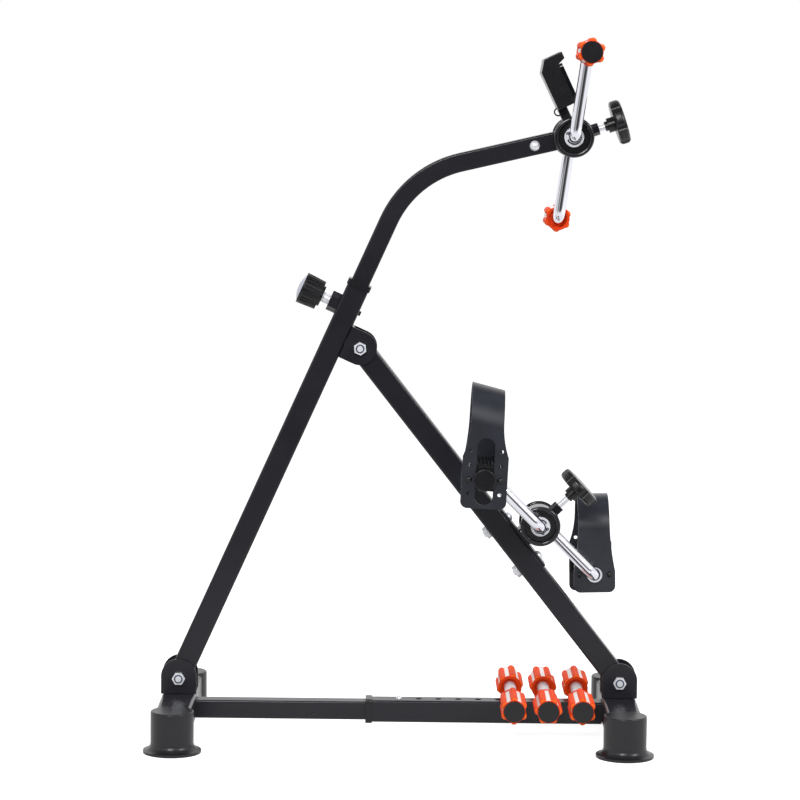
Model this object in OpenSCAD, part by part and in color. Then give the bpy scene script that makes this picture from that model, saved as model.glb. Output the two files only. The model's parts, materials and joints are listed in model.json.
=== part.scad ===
// Standing pedal exerciser for arms and legs.
// A folding A-frame carries a foot crank on its rear leg and a hand crank on a mast that slides in its
// front leg. Each crank turns in a drum with a resistance screw, and massage rollers lie across the base.
// Millimetres. +X points to the user's side, +Y to the far side and +Z up. The origin is on the floor,
// midway between the two crossbars with the base at its longest.

/* [Frame] */
// Distance between the two leg pivots with the base at its longest
base_span = 598; // [570:1:625]
// Distance up the front leg from its lower pivot to the level of the top hinge
apex_run = 511; // [490:1:535]
// Pivot to pivot length of the rear leg
rear_leg_len = 575; // [555:1:600]
// Length of the front leg above the level of the top hinge
front_leg_rise = 72; // [68:1:90]

/* [Tubes and plates] */
// Width of the square leg tubes and of the outer base tube
leg_w = 30; // [28:0.5:33]
// Wall of every square tube
tube_wall = 1.5; // [1.2:0.1:2]
// Outer corner radius of the square tubes
tube_corner = 3; // [2.5:0.5:4]
// Space between a tube and the tube that slides in it
slide_gap = 1; // [0.8:0.1:1.5]
// Thickness of brackets and plates
plate_t = 3; // [2.5:0.5:4]
// Space between the round end of a leg and the floor of its bracket
hinge_clear = 3.5; // [2.5:0.5:5]
// Space between a leg and each cheek of its bracket
cheek_gap = 0.5; // [0.3:0.1:0.8]
// Half width of the base hinge brackets, and radius of their tops
bracket_r = 24; // [20:0.5:26]
// Height of the bracket top's centre above the pivot
bracket_rise = 2.5; // [0:0.5:4]
// Radius of the top hinge bracket about its pivot
apex_bracket_r = 22.5; // [19:0.5:25]
// Diameter of the hinge, saddle and drum bolts
bolt_d = 8; // [6:0.5:9]
// Width across flats of the bolt heads and nuts
nut_af = 15.5; // [13:0.5:17]
// Height of the nuts
nut_h = 6.5; // [5:0.5:8]
// Play round the top hinge bolt in the rear leg
apex_play = 1.7; // [1.6:0.1:2]

/* [Base] */
// Width of the crossbars
bar_w = 46; // [42:1:50]
// Height of the crossbars
bar_h = 37; // [34:1:42]
// Wall of the crossbars
bar_wall = 2; // [1.5:0.1:3]
// Corner radius of the crossbars
bar_corner = 5; // [4:0.5:7]
// Height of the crossbars' undersides above the floor
bar_lift = 17; // [14:1:20]
// Distance between the two feet of a crossbar
foot_spread = 264; // [240:1:280]
// How far a foot stands out past each side of its crossbar
foot_shoulder = 5.5; // [4:0.5:7]
// Thinnest wall of a foot round the end of its crossbar
foot_wall = 2; // [1.5:0.1:3]
// Thickness of the foot above its crossbar
foot_skin = 1.5; // [1:0.1:2.5]
// How far the foot flares out at the floor
foot_flare = 10; // [7:0.5:12]
// Thickness of the flare's rim at the floor
foot_edge = 3.5; // [2.5:0.5:5]
// Length of the outer base tube
outer_tube_len = 312.5; // [290:0.5:325]
// How far the inner base tube reaches past the snap button
inner_reach = 40; // [25:1:60]
// Distance from the outer tube's open end to its first adjusting hole
button_inset = 36.5; // [34:0.5:42]
// Pitch of the adjusting holes
hole_pitch = 27; // [20:0.5:28]
// Number of adjusting holes
hole_count = 6; // [3:1:6]
// Diameter of the snap button
button_d = 8; // [6:0.5:9]
// Height of the snap button above the outer tube
button_rise = 4; // [3:0.5:5]
// Length of the bush flange on the end of the outer tube
bush_flange = 9; // [6:0.5:12]
// How far the bush flanges stand out past their tubes
bush_lip = 1.5; // [1:0.1:2.5]
// Length of the bush sleeve inside the outer tube
bush_sleeve = 25; // [15:1:28]

/* [Massage rollers and grips] */
// Diameter of the roller rods and of the bent cranks
rod_d = 16; // [14:0.5:18]
// Distance from the rear crossbar to the nearest roller rod
rod_inset = 32; // [28:1:40]
// Pitch of the roller rods
rod_pitch = 45.5; // [43:0.5:48]
// Number of roller rods
rod_count = 3; // [3:1:3]
// Distance from the middle of the base to the inner end of a roller
roller_in = 42; // [35:1:50]
// Length of a roller or a grip
roller_len = 72; // [60:1:80]
// Radius of the white core of a roller
core_r = 14.8; // [13.5:0.1:15.5]
// Wall of the core at its hollow inner end
core_wall = 2; // [1.5:0.1:3]
// Depth of the hollow inner end
core_hollow = 14; // [8:1:25]
// Number of ribs round a roller
rib_count = 6; // [5:1:7]
// Radius of a rib's round back
rib_r = 4.9; // [4.5:0.1:5.8]
// Distance from the roller's axis to the middle of a rib
rib_at = 13.6; // [12.5:0.1:14]
// Radius of the rims that join the ribs at both ends
rim_r = 16; // [15.8:0.1:17]
// Length of the rims
rim_len = 4; // [3:0.5:6]
// Diameter of the black end caps
cap_d = 28; // [24:0.5:30]
// Thickness of the end caps
cap_t = 2.5; // [2:0.5:4]

/* [Mast] */
// Length of the mast inside the leg
mast_insert = 192; // [160:1:230]
// Distance from the top of the leg to the corner of the mast's bend
mast_rise = 168; // [155:1:200]
// Angle of the mast's bend
mast_turn = 52.6; // [45:0.1:58]
// Radius of the bend on the mast's centreline
mast_bend_r = 140; // [110:1:160]
// Distance from the bend's corner to the hand drum
mast_arm = 222.6; // [200:0.1:250]
// Height of the bush flange on top of the front leg
mast_flange = 8; // [6:0.5:12]
// Distance from the top of the front leg down to the clamp
clamp_drop = 31; // [28:0.5:34]
// Diameter of the bush's locating nub
nub_d = 6.6; // [5:0.1:8]
// How far the nub stands out of the leg
nub_rise = 3; // [2:0.5:4]

/* [Height clamp] */
// Diameter of the clamp screw
clamp_screw_d = 14; // [12:0.5:15]
// Diameter of the hexagonal clamp nut across its corners
clamp_nut_d = 27.7; // [24:0.1:30]
// Length of the clamp nut
clamp_nut_h = 12.8; // [10:0.1:16]
// Length of screw that shows between nut and knob
clamp_stem = 10.7; // [8:0.1:14]
// Diameter of the collar on the knob
clamp_collar_d = 28.5; // [24:0.5:32]
// Thickness of the collar on the knob
clamp_collar_h = 3; // [2:0.5:5]
// Diameter of the knob at its outer end
clamp_knob_d = 43; // [38:0.5:48]
// How much narrower the knob is at its inner end
clamp_knob_taper = 3; // [0:0.5:5]
// Length of the knob
clamp_knob_h = 27; // [22:0.5:32]
// Number of grip flutes round the knob
clamp_flutes = 24; // [16:1:30]
// Height of the domed end cap
clamp_dome_h = 5; // [3:0.5:7]

/* [Drums] */
// Radius of the drums' end rims
drum_r = 27; // [26:0.5:30]
// How far the drums' middle is turned down below the rims
drum_turned = 2; // [1:0.5:3]
// Wall of the drums
drum_wall = 4; // [3:0.5:5]
// Length of the drums
drum_len = 60; // [56:1:66]
// Width of the drums' end rims
drum_rim_w = 6; // [5:0.5:8]
// Edge radius of the drums' end rims
drum_edge = 2.2; // [1:0.1:2.4]
// Depth of the bearing bushes below the drums' faces
drum_recess = 4; // [3:0.5:6]
// Length of a bearing bush
drum_bush_len = 12; // [8:0.5:14]
// Length of the hand drum's stub from the drum's middle
stub_reach = 75; // [65:1:85]
// Distance from the hand drum's middle to the bolt through the stub
stub_bolt_at = 52.7; // [45:0.1:58]
// Distance up the rear leg from its pivot to the foot drum
foot_hub_run = 237.4; // [220:0.1:260]
// Space between the foot drum's rims and its saddle
saddle_gap = 0.7; // [0.5:0.1:3]
// Distance between the two saddle bolts
saddle_bolts_apart = 67; // [64:0.5:74]
// Length of the saddle along the leg
saddle_len = 97; // [92:1:110]
// Distance between the two upright webs of the saddle
saddle_webs_apart = 22; // [16:0.5:30]

/* [Cranks] */
// Distance from a crank's axle to the axis of its pedal or grip
crank_r = 113; // [95:1:125]
// Bend radius of the crank rod on its centreline
rod_bend_r = 14; // [12:0.5:17]
// Space between a drum's face and the start of the crank's bend
arm_gap = 2; // [1.5:0.5:6]
// Diameter of the thrust collars on the axles
collar_d = 27; // [24:0.5:30]
// Thickness of the thrust collars
collar_t = 2.5; // [2:0.1:3]
// Direction of the hand crank's near arm, from +X towards +Z
hand_arm_angle = 82.2; // [0:0.1:180]
// Direction of the foot crank's near arm, from +X towards +Z
foot_arm_angle = 135; // [0:0.1:180]

/* [Resistance screws] */
// Diameter of the resistance screws
screw_d = 8; // [6:0.5:9]
// Width across flats of the hexagonal threaded bosses on the drums
boss_d = 14; // [13:0.5:16]
// Distance from the drum's axis to the outer end of its boss
boss_out = 36; // [33:0.5:40]
// Diameter of the brake pads
pad_d = 10; // [9.5:0.1:11]
// Length of the brake pads
pad_len = 5.7; // [4.5:0.1:7]
// Distance of the brake pads from the axles
pad_gap = 0.3; // [0.2:0.05:0.5]
// How far a screw can back out
screw_travel = 3.75; // [2.5:0.05:4.5]
// Angle of the screws from the line through the drum's support
screw_tilt = 5; // [0:0.5:10]
// Distance from the hand drum's axis to the middle of its knob
hand_knob_out = 65; // [62:0.5:72]
// Distance from the foot drum's axis to the middle of its knob
foot_knob_out = 72; // [66:0.5:78]
// Diameter of the scalloped knobs
knob_d = 60; // [50:1:68]
// Thickness of the scalloped knobs
knob_t = 15; // [12:0.5:18]
// Edge radius of the scalloped knobs
knob_edge = 5; // [3:0.5:6]
// Number of scallops round a knob
scallops = 7; // [5:1:9]
// Radius of a scallop
scallop_r = 8; // [6:0.5:10]
// Depth of a scallop
scallop_depth = 3; // [2:0.5:4]
// Diameter of the collar under a knob
knob_collar_d = 20; // [17:0.5:24]
// Height of the collar under a knob
knob_collar_h = 9; // [6:0.5:10]

/* [Pedals] */
// Length of the pedal body between its strap's ends
pedal_len = 90; // [80:1:100]
// Width of the pedal's end plates
pedal_w = 56; // [52:1:62]
// Width of the tread
tread_w = 42; // [36:1:48]
// Height of the end plates' shoulders above the pedal's axis
pedal_shoulder = 5; // [4:0.5:8]
// Height of the tread above the pedal's axis
tread_top = 20; // [18:0.5:24]
// Height of the ridges on the tread
tread_ridge = 3; // [2:0.5:4]
// Thickness of the tread plate under its ridges
tread_t = 4; // [3:0.5:6]
// Number of ridges across the tread
ridge_count = 9; // [7:2:11]
// Depth of the pedal's end plates below its axis
pedal_drop = 15; // [13:0.5:18]
// Thickness of the pedal's end plates and skirts
pedal_wall = 4; // [3:0.5:6]
// Diameter of the tube round the pedal's axle
pedal_tube_d = 22; // [20:0.5:23]
// Diameter of the pedal's end cap
pedal_cap_d = 29; // [26:0.5:34]
// Thickness of the pedal's end cap
pedal_cap_t = 7; // [5:0.5:10]
// Tilt of the near pedal, its top towards +X
near_tilt = 2.6; // [-10:0.1:10]
// Tilt of the far pedal, its top towards +X
far_tilt = -1.5; // [-10:0.1:10]

/* [Straps] */
// Thickness of the straps
strap_t = 2.6; // [2:0.1:3.5]
// Width of a strap at its outer plate
strap_w = 60; // [56:1:66]
// Width of a strap at its inner plate
strap_inner_w = 57; // [52:1:62]
// Width of a strap at its waist and over the foot
strap_waist = 43; // [36:1:48]
// Height of the waist above the pedal's axis
waist_at = 75; // [70:1:85]
// Radius of the side curves from the outer plate to the waist
waist_curve = 124; // [110:1:150]
// Radius of the side curves from the inner plate to the waist
inner_curve = 360; // [300:10:500]
// Height of the near loop's top above the pedal's axis
near_strap_top = 118; // [106:1:130]
// Height of the far loop's top above the pedal's axis
far_strap_top = 106; // [106:1:130]
// Slope of the near loop's top, down towards +X
near_slope = 12; // [0:1:18]
// Slope of the far loop's top, down towards +X
far_slope = 0; // [0:1:18]
// Largest radius of the loop's top corners
strap_bend = 46; // [25:1:50]
// Depth of the outer plate below the pedal's axis
strap_drop = 38; // [36:0.5:42]
// Depth of the inner plate below the pedal's axis
strap_inner_drop = 25; // [18:0.5:28]
// Corner radius of the plates
strap_corner = 9; // [6:0.5:11]
// Width of the long slot in the outer plate
slot_w = 23.6; // [23.4:0.1:25]
// Height of the slot's top above the pedal's axis
slot_top = 55; // [48:0.5:58]
// Depth of the slot's bottom below the pedal's axis
slot_drop = 33; // [26:0.5:34]
// Distance between the two columns of strap holes
strap_hole_span = 41; // [39:0.5:44]
// Pitch of the strap holes
strap_hole_pitch = 18.9; // [16:0.1:19.5]
// Diameter of the strap holes
strap_hole_d = 5; // [4.5:0.1:6]
// Diameter of the strap screws' heads
strap_head_d = 8.5; // [7:0.5:10]

/* [Counter] */
// Lean of the counter away from the user
counter_lean = 25.6; // [15:0.1:35]
// Distance from the hand drum's axis to the underside of the counter
counter_rise = 41; // [38:0.5:46]
// Distance from the line through the drum's axis to the back of the counter
counter_back = 4; // [2:0.5:6]
// Depth of the counter's case
counter_depth = 25.5; // [23:0.5:30]
// Height of the counter's case
counter_h = 69; // [60:1:78]
// Width of the counter's case
counter_w = 62; // [54:1:68]
// Thickness of the counter's front frame
counter_front = 4.5; // [4:0.5:6]
// Height of the hood over the counter's front frame
hood_h = 13.5; // [10:0.5:16]
// How far the hood stands out of the counter's face
hood_out = 10.5; // [6:0.5:14]
// How far the top back corner is cut along the top
counter_cut_top = 10.7; // [6:0.1:14]
// How far the top back corner is cut down the back
counter_cut_back = 15; // [8:0.5:20]
// Diameter of the counter's button
counter_button_d = 9; // [7:0.5:12]
// Diameter of the sensor lead
lead_d = 2; // [1.6:0.1:2.6]
// Radius of the sensor lead's loop
lead_loop = 5; // [4.5:0.5:8]

/* [Hidden] */
$fn = 64;
// Overshoot of every cut past the face that it opens
over = 1;
// Running fit of a shaft
run_fit = 0.06;
// Sliding fit of a tube
slide_fit = 0.2;
// Thread or bolt in its hole
hole_fit = 0.12;
// Seat of one piece on another
seat_fit = 0.05;
// Space between pieces that pass each other
pass_gap = 0.3;

// Tubes
inner_w = leg_w - 2 * (tube_wall + slide_gap);
bore_w = leg_w - 2 * tube_wall;
inner_bore_w = inner_w - 2 * tube_wall;
inner_corner = tube_corner - 0.5;

// Levels
bar_top = bar_lift + bar_h;
pivot_h = bar_top + plate_t + hinge_clear + leg_w / 2;
tube_z = bar_lift + leg_w / 2;
tube_top = bar_lift + leg_w;
inner_roof = tube_z + inner_bore_w / 2;
inner_floor = tube_z - inner_bore_w / 2;

// Base lengths
foot_r = bar_w / 2 + foot_shoulder;
foot_h = bar_top + foot_skin;
bar_half = foot_spread / 2 + sqrt(pow(foot_r - foot_wall, 2) - pow(bar_w / 2, 2));
bar_face = base_span / 2 - bar_w / 2;
outer_end = bar_face - outer_tube_len;
button_x = outer_end + button_inset;
rod_z = tube_top + rod_d / 2 + seat_fit;
button_flange = 1.5;
spring_t = 0.8;
spring_w = 10;
spring_reach = 34;

// Hinges
cheek_in = leg_w / 2 + cheek_gap;
cheek_out = cheek_in + plate_t;
apex_offset = leg_w + plate_t + hinge_clear;
apex_dist = sqrt(pow(apex_run, 2) + pow(apex_offset, 2));
front_angle = acos(side_ratio(apex_dist, base_span, rear_leg_len)) + atan(apex_offset / apex_run);
rear_angle = acos(side_ratio(rear_leg_len, base_span, apex_dist));
front_lean = 90 - front_angle;
rear_lean = 90 - rear_angle;
front_pivot = [-base_span / 2, 0, pivot_h];
rear_pivot = [base_span / 2, 0, pivot_h];
bolt_end = 2;
head_h = 5.3;

// Mast and clamp
leg_top = apex_run + front_leg_rise;
clamp_z = leg_top - clamp_drop;
mast_sleeve = clamp_drop + 10;
mast_corner = leg_top + mast_rise;
mast_tangent = mast_bend_r * tan(mast_turn / 2);
// How far the mast's straight lengths run into its bend, and how much the bend is drawn in
bend_lap = 1;
bend_draw = 0.02;
clamp_nut_end = leg_w / 2 + clamp_nut_h;
clamp_knob_start = clamp_nut_end + clamp_stem;
clamp_knob_end = clamp_knob_start + clamp_collar_h + clamp_knob_h;
clamp_tip = leg_w / 2;
clamp_pad_d = clamp_screw_d - 3;
clamp_grip = 12;
clamp_flute_r = 1.4;
clamp_rim = 4;
clamp_cap_d = clamp_knob_d - 6;
clamp_cap_seat = 1.5;

// Drums
drum_waist_r = drum_r - drum_turned;
drum_bore_r = drum_waist_r - drum_wall;
bush_face = drum_len / 2 - drum_recess;
stub_w = inner_bore_w - 2 * slide_fit;
stub_wall = 2;
foot_hub_out = leg_w / 2 + plate_t + saddle_gap + drum_r;
saddle_face = leg_w / 2 - foot_hub_out;
dome_d = 1.75 * bolt_d;
dome_h = 0.6 * bolt_d;

// Resistance screws
boss_in = rod_d / 2 + 2;
pad_top = rod_d / 2 + pad_gap + pad_len;
pad_bore_top = pad_top + screw_travel + pass_gap;
knob_neck_d = screw_d + 5;
knob_neck_h = 4;
knob_grip = knob_collar_h + knob_neck_h + knob_t / 2;

// Cranks
arm_y = drum_len / 2 + arm_gap + rod_bend_r;
spindle_at = arm_y + rod_bend_r;
grip_in = spindle_at - arm_gap;
grip_out = grip_in + roller_len;
roller_out = roller_in + roller_len;
rod_end_back = 0.5;
// Turn of each roller's ribs at rest, from +X towards +Z
near_turns = [30, 0, 30];
far_turns = [15, 0, 30];
grip_turn = 31;
plug_d = rod_d - 4;
plug_len = 14;
pedal_collar_t = 2;
pedal_collar_d = rod_d + 5;

// Pedals, measured outwards from the middle of the exerciser
strap_in = spindle_at + pedal_collar_t + pass_gap;
pedal_in = strap_in + strap_t + seat_fit;
pedal_out = pedal_in + pedal_len;
strap_out = pedal_out + seat_fit + strap_t;
pedal_cap_in = strap_out + pass_gap;
spindle_end = pedal_cap_in + pedal_cap_t / 3;
ridge_pitch = tread_w / ridge_count;
pedal_corner = 6;
strap_half = (strap_out - strap_in) / 2;
strap_mid = (strap_out + strap_in) / 2;
strap_arch = min(strap_bend, strap_half - 1);
strap_rows = [-1, 0, 1, 2];
strap_screw_d = 4;
strap_screw_len = 10;
strap_head_h = 2.6;

// Counter
counter_top = counter_rise + counter_h;
counter_face = counter_depth - counter_back;
clip_w = 20;
clip_depth = 13;
button_at = counter_rise + 13;
button_proud = 1;
button_len = 3.5;
screen_margin = 7;
screen_low = 24;
screen_sink = 1;
screen_corner = 2;
lens_corner = 5;
hood_slope = 4;
frame_h = counter_h - hood_h - pass_gap;

// Centres of the two drums and of the two pedals
hand_hub = front_pivot + lean([0, 0, mast_corner], front_lean)
    + lean([0, 0, mast_arm], front_lean + mast_turn);
foot_hub = rear_pivot + lean([foot_hub_out, 0, foot_hub_run], -rear_lean);
near_pedal_at = foot_hub + lean([0, 0, crank_r], 90 - foot_arm_angle);
far_pedal_at = foot_hub - lean([0, 0, crank_r], 90 - foot_arm_angle);

steel_black = "#232426";
plastic_black = "#17181a";
lens_black = "#101214";
rubber_black = "#2b2c2f";
zinc = "#c9ccd0";
chrome = "#e2e4e8";
white_plastic = "#f1f0ec";
orange_rubber = "#ff5a1e";

// Cosine of the angle between sides a and b of a triangle whose third side is c
function side_ratio(a, b, c) = (a * a + b * b - c * c) / (2 * a * b);

// Turns a point about the Y axis, its +Z towards +X
function lean(p, a) = [p[0] * cos(a) + p[2] * sin(a), p[1], p[2] * cos(a) - p[0] * sin(a)];

// Middle of roller rod i, counted from the front
function rod_x(i) = bar_face - rod_inset - (rod_count - 1 - i) * rod_pitch;

// Frames: +Z along the leg or the mast's arm, or away from a drum's support
module at_front_leg() {
    translate(front_pivot) rotate([0, front_lean, 0]) children();
}

module at_rear_leg() {
    translate(rear_pivot) rotate([0, -rear_lean, 0]) children();
}

module at_hand_drum() {
    translate(hand_hub) rotate([0, front_lean + mast_turn, 0]) children();
}

module at_foot_drum() {
    translate(foot_hub) rotate([0, 90 - rear_lean, 0]) children();
}

module at_clamp() {
    at_front_leg() translate([0, 0, clamp_z]) rotate([0, -90, 0]) children();
}

module at_counter() {
    translate(hand_hub) rotate([0, -counter_lean, 0]) children();
}

module along_screw() {
    rotate([0, -screw_tilt, 0]) children();
}

// Extrudes an outline drawn in X and Z along Y, centred
module along_y(len) {
    rotate([90, 0, 0]) linear_extrude(len, center = true) children();
}

// Extrudes an outline drawn in X and Z from y0 to y1
module from_y(y0, y1) {
    translate([0, y1, 0]) rotate([90, 0, 0]) linear_extrude(y1 - y0) children();
}

// Turns pieces drawn along +Z to lie along +Y
module lay_y() {
    rotate([-90, 0, 0]) children();
}

module rounded(w, h, r) {
    square([w - 2 * r, h], center = true);
    square([w, h - 2 * r], center = true);
    for (x = [-1, 1], y = [-1, 1]) {
        translate([x * (w / 2 - r), y * (h / 2 - r)]) circle(r);
    }
}

module tube_section(w, h, r, wall) {
    difference() {
        rounded(w, h, r);
        rounded(w - 2 * wall, h - 2 * wall, max(r - wall, 0.3));
    }
}

module leg_section() {
    tube_section(leg_w, leg_w, tube_corner, tube_wall);
}

module inner_section() {
    tube_section(inner_w, inner_w, inner_corner, tube_wall);
}

// Half of a disc's cross-section with round edges
module disc_half(r, h, edge) {
    translate([0, -h / 2]) square([r - edge, h]);
    translate([0, -h / 2 + edge]) square([r, h - 2 * edge]);
    for (s = [-1, 1]) {
        translate([r - edge, s * (h / 2 - edge)]) circle(edge);
    }
}

// Spherical cap of diameter d and height h, standing on Z = 0
module dome(d, h) {
    ball = (h * h + d * d / 4) / (2 * h);
    intersection() {
        translate([0, 0, h - ball]) sphere(ball);
        cylinder(d = d + over, h = h + over);
    }
}

module hexagon(af, h) {
    cylinder(d = af / cos(30), h = h, $fn = 6);
}

// Bolt along Y through a bracket, its nut on the near side
module hinge_bolt() {
    translate([0, -cheek_out - nut_h - bolt_end, 0]) lay_y() {
        cylinder(d = bolt_d, h = 2 * cheek_out + nut_h + bolt_end);
    }
    translate([0, cheek_out, 0]) lay_y() hexagon(nut_af, head_h);
    translate([0, -cheek_out - nut_h, 0]) lay_y() hexagon(nut_af, nut_h);
}

module bolt_hole_y(d) {
    along_y(2 * cheek_out + 2 * over) circle(d = d);
}

// Base pieces, drawn for a crossbar at X = 0
module crossbar() {
    translate([0, 0, bar_lift + bar_h / 2]) along_y(2 * bar_half) {
        tube_section(bar_w, bar_h, bar_corner, bar_wall);
    }
}

module foot_outline() {
    top_edge = 2;
    square([foot_r - top_edge, foot_h]);
    square([foot_r, foot_h - top_edge]);
    translate([foot_r - top_edge, foot_h - top_edge]) circle(top_edge);
    difference() {
        square([foot_r + foot_flare, foot_edge + foot_flare]);
        translate([foot_r + foot_flare, foot_edge + foot_flare]) circle(foot_flare);
    }
}

module feet() {
    for (s = [-1, 1]) {
        difference() {
            translate([0, s * foot_spread / 2, 0]) rotate_extrude() foot_outline();
            translate([0, 0, bar_lift + bar_h / 2]) along_y(2 * (bar_half + seat_fit)) {
                rounded(bar_w + 2 * seat_fit, bar_h + 2 * seat_fit, bar_corner);
            }
        }
    }
}

module hinge_bracket() {
    top_z = pivot_h + bracket_rise;
    difference() {
        union() {
            translate([-bracket_r, -cheek_out, bar_top]) cube([2 * bracket_r, 2 * cheek_out, plate_t]);
            for (s = [-1, 1]) {
                translate([0, s * (cheek_in + plate_t / 2), 0]) along_y(plate_t) {
                    translate([-bracket_r, bar_top]) square([2 * bracket_r, top_z - bar_top]);
                    translate([0, top_z]) circle(bracket_r);
                }
            }
        }
        translate([0, 0, pivot_h]) bolt_hole_y(bolt_d + 2 * seat_fit);
    }
}

module rear_crossbar() {
    color(steel_black) translate([base_span / 2, 0, 0]) crossbar();
}

module front_crossbar() {
    color(steel_black) translate([-base_span / 2, 0, 0]) crossbar();
}

module rear_feet() {
    color(rubber_black) translate([base_span / 2, 0, 0]) feet();
}

module front_feet() {
    color(rubber_black) translate([-base_span / 2, 0, 0]) feet();
}

module rear_hinge_bracket() {
    color(steel_black) translate([base_span / 2, 0, 0]) hinge_bracket();
}

module front_hinge_bracket() {
    color(steel_black) translate([-base_span / 2, 0, 0]) hinge_bracket();
}

module rear_hinge_bolt() {
    color(zinc) translate(rear_pivot) hinge_bolt();
}

module front_hinge_bolt() {
    color(zinc) translate(front_pivot) hinge_bolt();
}

// Base tubes and their snap button
module along_x(x0, x1) {
    translate([x0, 0, tube_z]) rotate([0, 90, 0]) linear_extrude(x1 - x0) children();
}

module base_outer_tube() {
    color(steel_black) difference() {
        along_x(outer_end, bar_face) leg_section();
        for (i = [0 : hole_count - 1]) {
            translate([button_x + i * hole_pitch, 0, tube_z]) {
                cylinder(d = button_d + 2 * pass_gap, h = leg_w);
            }
        }
    }
}

module base_inner_tube() {
    color(steel_black) difference() {
        along_x(-bar_face, button_x + inner_reach) inner_section();
        translate([button_x, 0, tube_z]) cylinder(d = button_d + 2 * run_fit, h = leg_w);
    }
}

// Guide bush: a flange on the end of a tube and a sleeve inside it, drawn with the tube's end at Z = 0
module guide_bush(flange, sleeve) {
    difference() {
        union() {
            linear_extrude(flange) rounded(leg_w + 2 * bush_lip, leg_w + 2 * bush_lip, tube_corner);
            translate([0, 0, -sleeve]) linear_extrude(sleeve + over) {
                rounded(bore_w - 2 * seat_fit, bore_w - 2 * seat_fit, tube_corner - tube_wall);
            }
        }
        translate([0, 0, -sleeve - over]) linear_extrude(flange + sleeve + 2 * over) {
            rounded(inner_w + 2 * slide_fit, inner_w + 2 * slide_fit, inner_corner);
        }
    }
}

module base_tube_bush() {
    color(plastic_black) translate([outer_end, 0, tube_z]) rotate([0, -90, 0]) {
        guide_bush(bush_flange, bush_sleeve);
    }
}

module snap_button() {
    shank_top = tube_top + button_rise - button_d / 2;
    flange_z = inner_roof - button_flange - seat_fit;
    color(zinc) translate([button_x, 0, 0]) {
        translate([0, 0, flange_z]) cylinder(d = button_d, h = shank_top - flange_z);
        translate([0, 0, flange_z]) cylinder(d = button_d + 3, h = button_flange);
        translate([0, 0, shank_top]) dome(button_d, button_d / 2);
    }
}

// Leaf spring folded back under the button, from the tube's roof down to its floor
module snap_spring() {
    top = inner_roof - button_flange - 2 * seat_fit;
    bottom = inner_floor + seat_fit;
    nose = button_d;
    color(zinc) translate([button_x, 0, 0]) along_y(spring_w) {
        translate([-spring_reach, top - spring_t]) square([spring_reach + nose, spring_t]);
        polygon([
            [-spring_reach, top - spring_t], [-spring_reach, top],
            [nose, bottom + spring_t], [nose, bottom], [nose - spring_t, bottom]
        ]);
    }
}

// Massage roller along +Y, its hollow inner end at Y = 0
module massage_roller(turn) {
    lay_y() rotate(-turn) difference() {
        union() {
            color(white_plastic) cylinder(r = core_r, h = roller_len);
            color(orange_rubber) {
                for (i = [0 : rib_count - 1]) {
                    rotate(i * 360 / rib_count) translate([rib_at, 0, rim_len / 4]) {
                        cylinder(r = rib_r, h = roller_len - rim_len / 2);
                    }
                }
                cylinder(r = rim_r, h = rim_len);
                translate([0, 0, roller_len - rim_len]) cylinder(r = rim_r, h = rim_len);
            }
        }
        translate([0, 0, -over]) cylinder(d = rod_d + 2 * run_fit, h = roller_len + 2 * over);
        translate([0, 0, -over]) cylinder(r = core_r - core_wall, h = core_hollow + over);
    }
}

// Cap that plugs a rod's end and keeps the roller on, with the roller's end at Y = 0
module end_cap() {
    lay_y() {
        translate([0, 0, pass_gap]) cylinder(d = cap_d, h = cap_t);
        translate([0, 0, seat_fit - rod_end_back]) cylinder(d = rod_d - 1, h = rod_end_back + pass_gap);
        translate([0, 0, -rod_end_back - plug_len]) {
            cylinder(d = plug_d - 2 * seat_fit, h = plug_len + rod_end_back);
        }
    }
}

module plug_hole() {
    translate([0, 0, -plug_len - over]) cylinder(d = plug_d, h = plug_len + 2 * over);
}

module roller_rods() {
    half = roller_out - rod_end_back;
    color(chrome) for (i = [0 : rod_count - 1]) {
        translate([rod_x(i), 0, rod_z]) difference() {
            along_y(2 * half) circle(d = rod_d);
            for (s = [-1, 1]) {
                rotate([-90 * s, 0, 0]) translate([0, 0, half]) plug_hole();
            }
        }
    }
}

// Places a piece at both ends, near and far, of something along Y
module near_side() {
    mirror([0, 1, 0]) children();
}

module roller_end_caps() {
    color(plastic_black) for (i = [0 : rod_count - 1]) {
        translate([rod_x(i), 0, rod_z]) {
            translate([0, roller_out, 0]) end_cap();
            near_side() translate([0, roller_out, 0]) end_cap();
        }
    }
}

module roller_at(i, turn) {
    translate([rod_x(i), roller_in, rod_z]) massage_roller(turn);
}

module roller_near(i) {
    near_side() roller_at(i, near_turns[i]);
}

module roller_far(i) {
    roller_at(i, far_turns[i]);
}

module roller_1_near() { roller_near(0); }
module roller_1_far() { roller_far(0); }
module roller_2_near() { roller_near(1); }
module roller_2_far() { roller_far(1); }
module roller_3_near() { roller_near(2); }
module roller_3_far() { roller_far(2); }

// Keeps a leg's end round about the pivot at height z; up is 1 at a lower end and -1 at a top end
module round_end(z, up, reach) {
    translate([0, 0, z]) {
        along_y(leg_w + over) circle(leg_w / 2);
        translate([-leg_w, -leg_w, up > 0 ? 0 : -reach]) cube([2 * leg_w, 2 * leg_w, reach]);
    }
}

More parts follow.
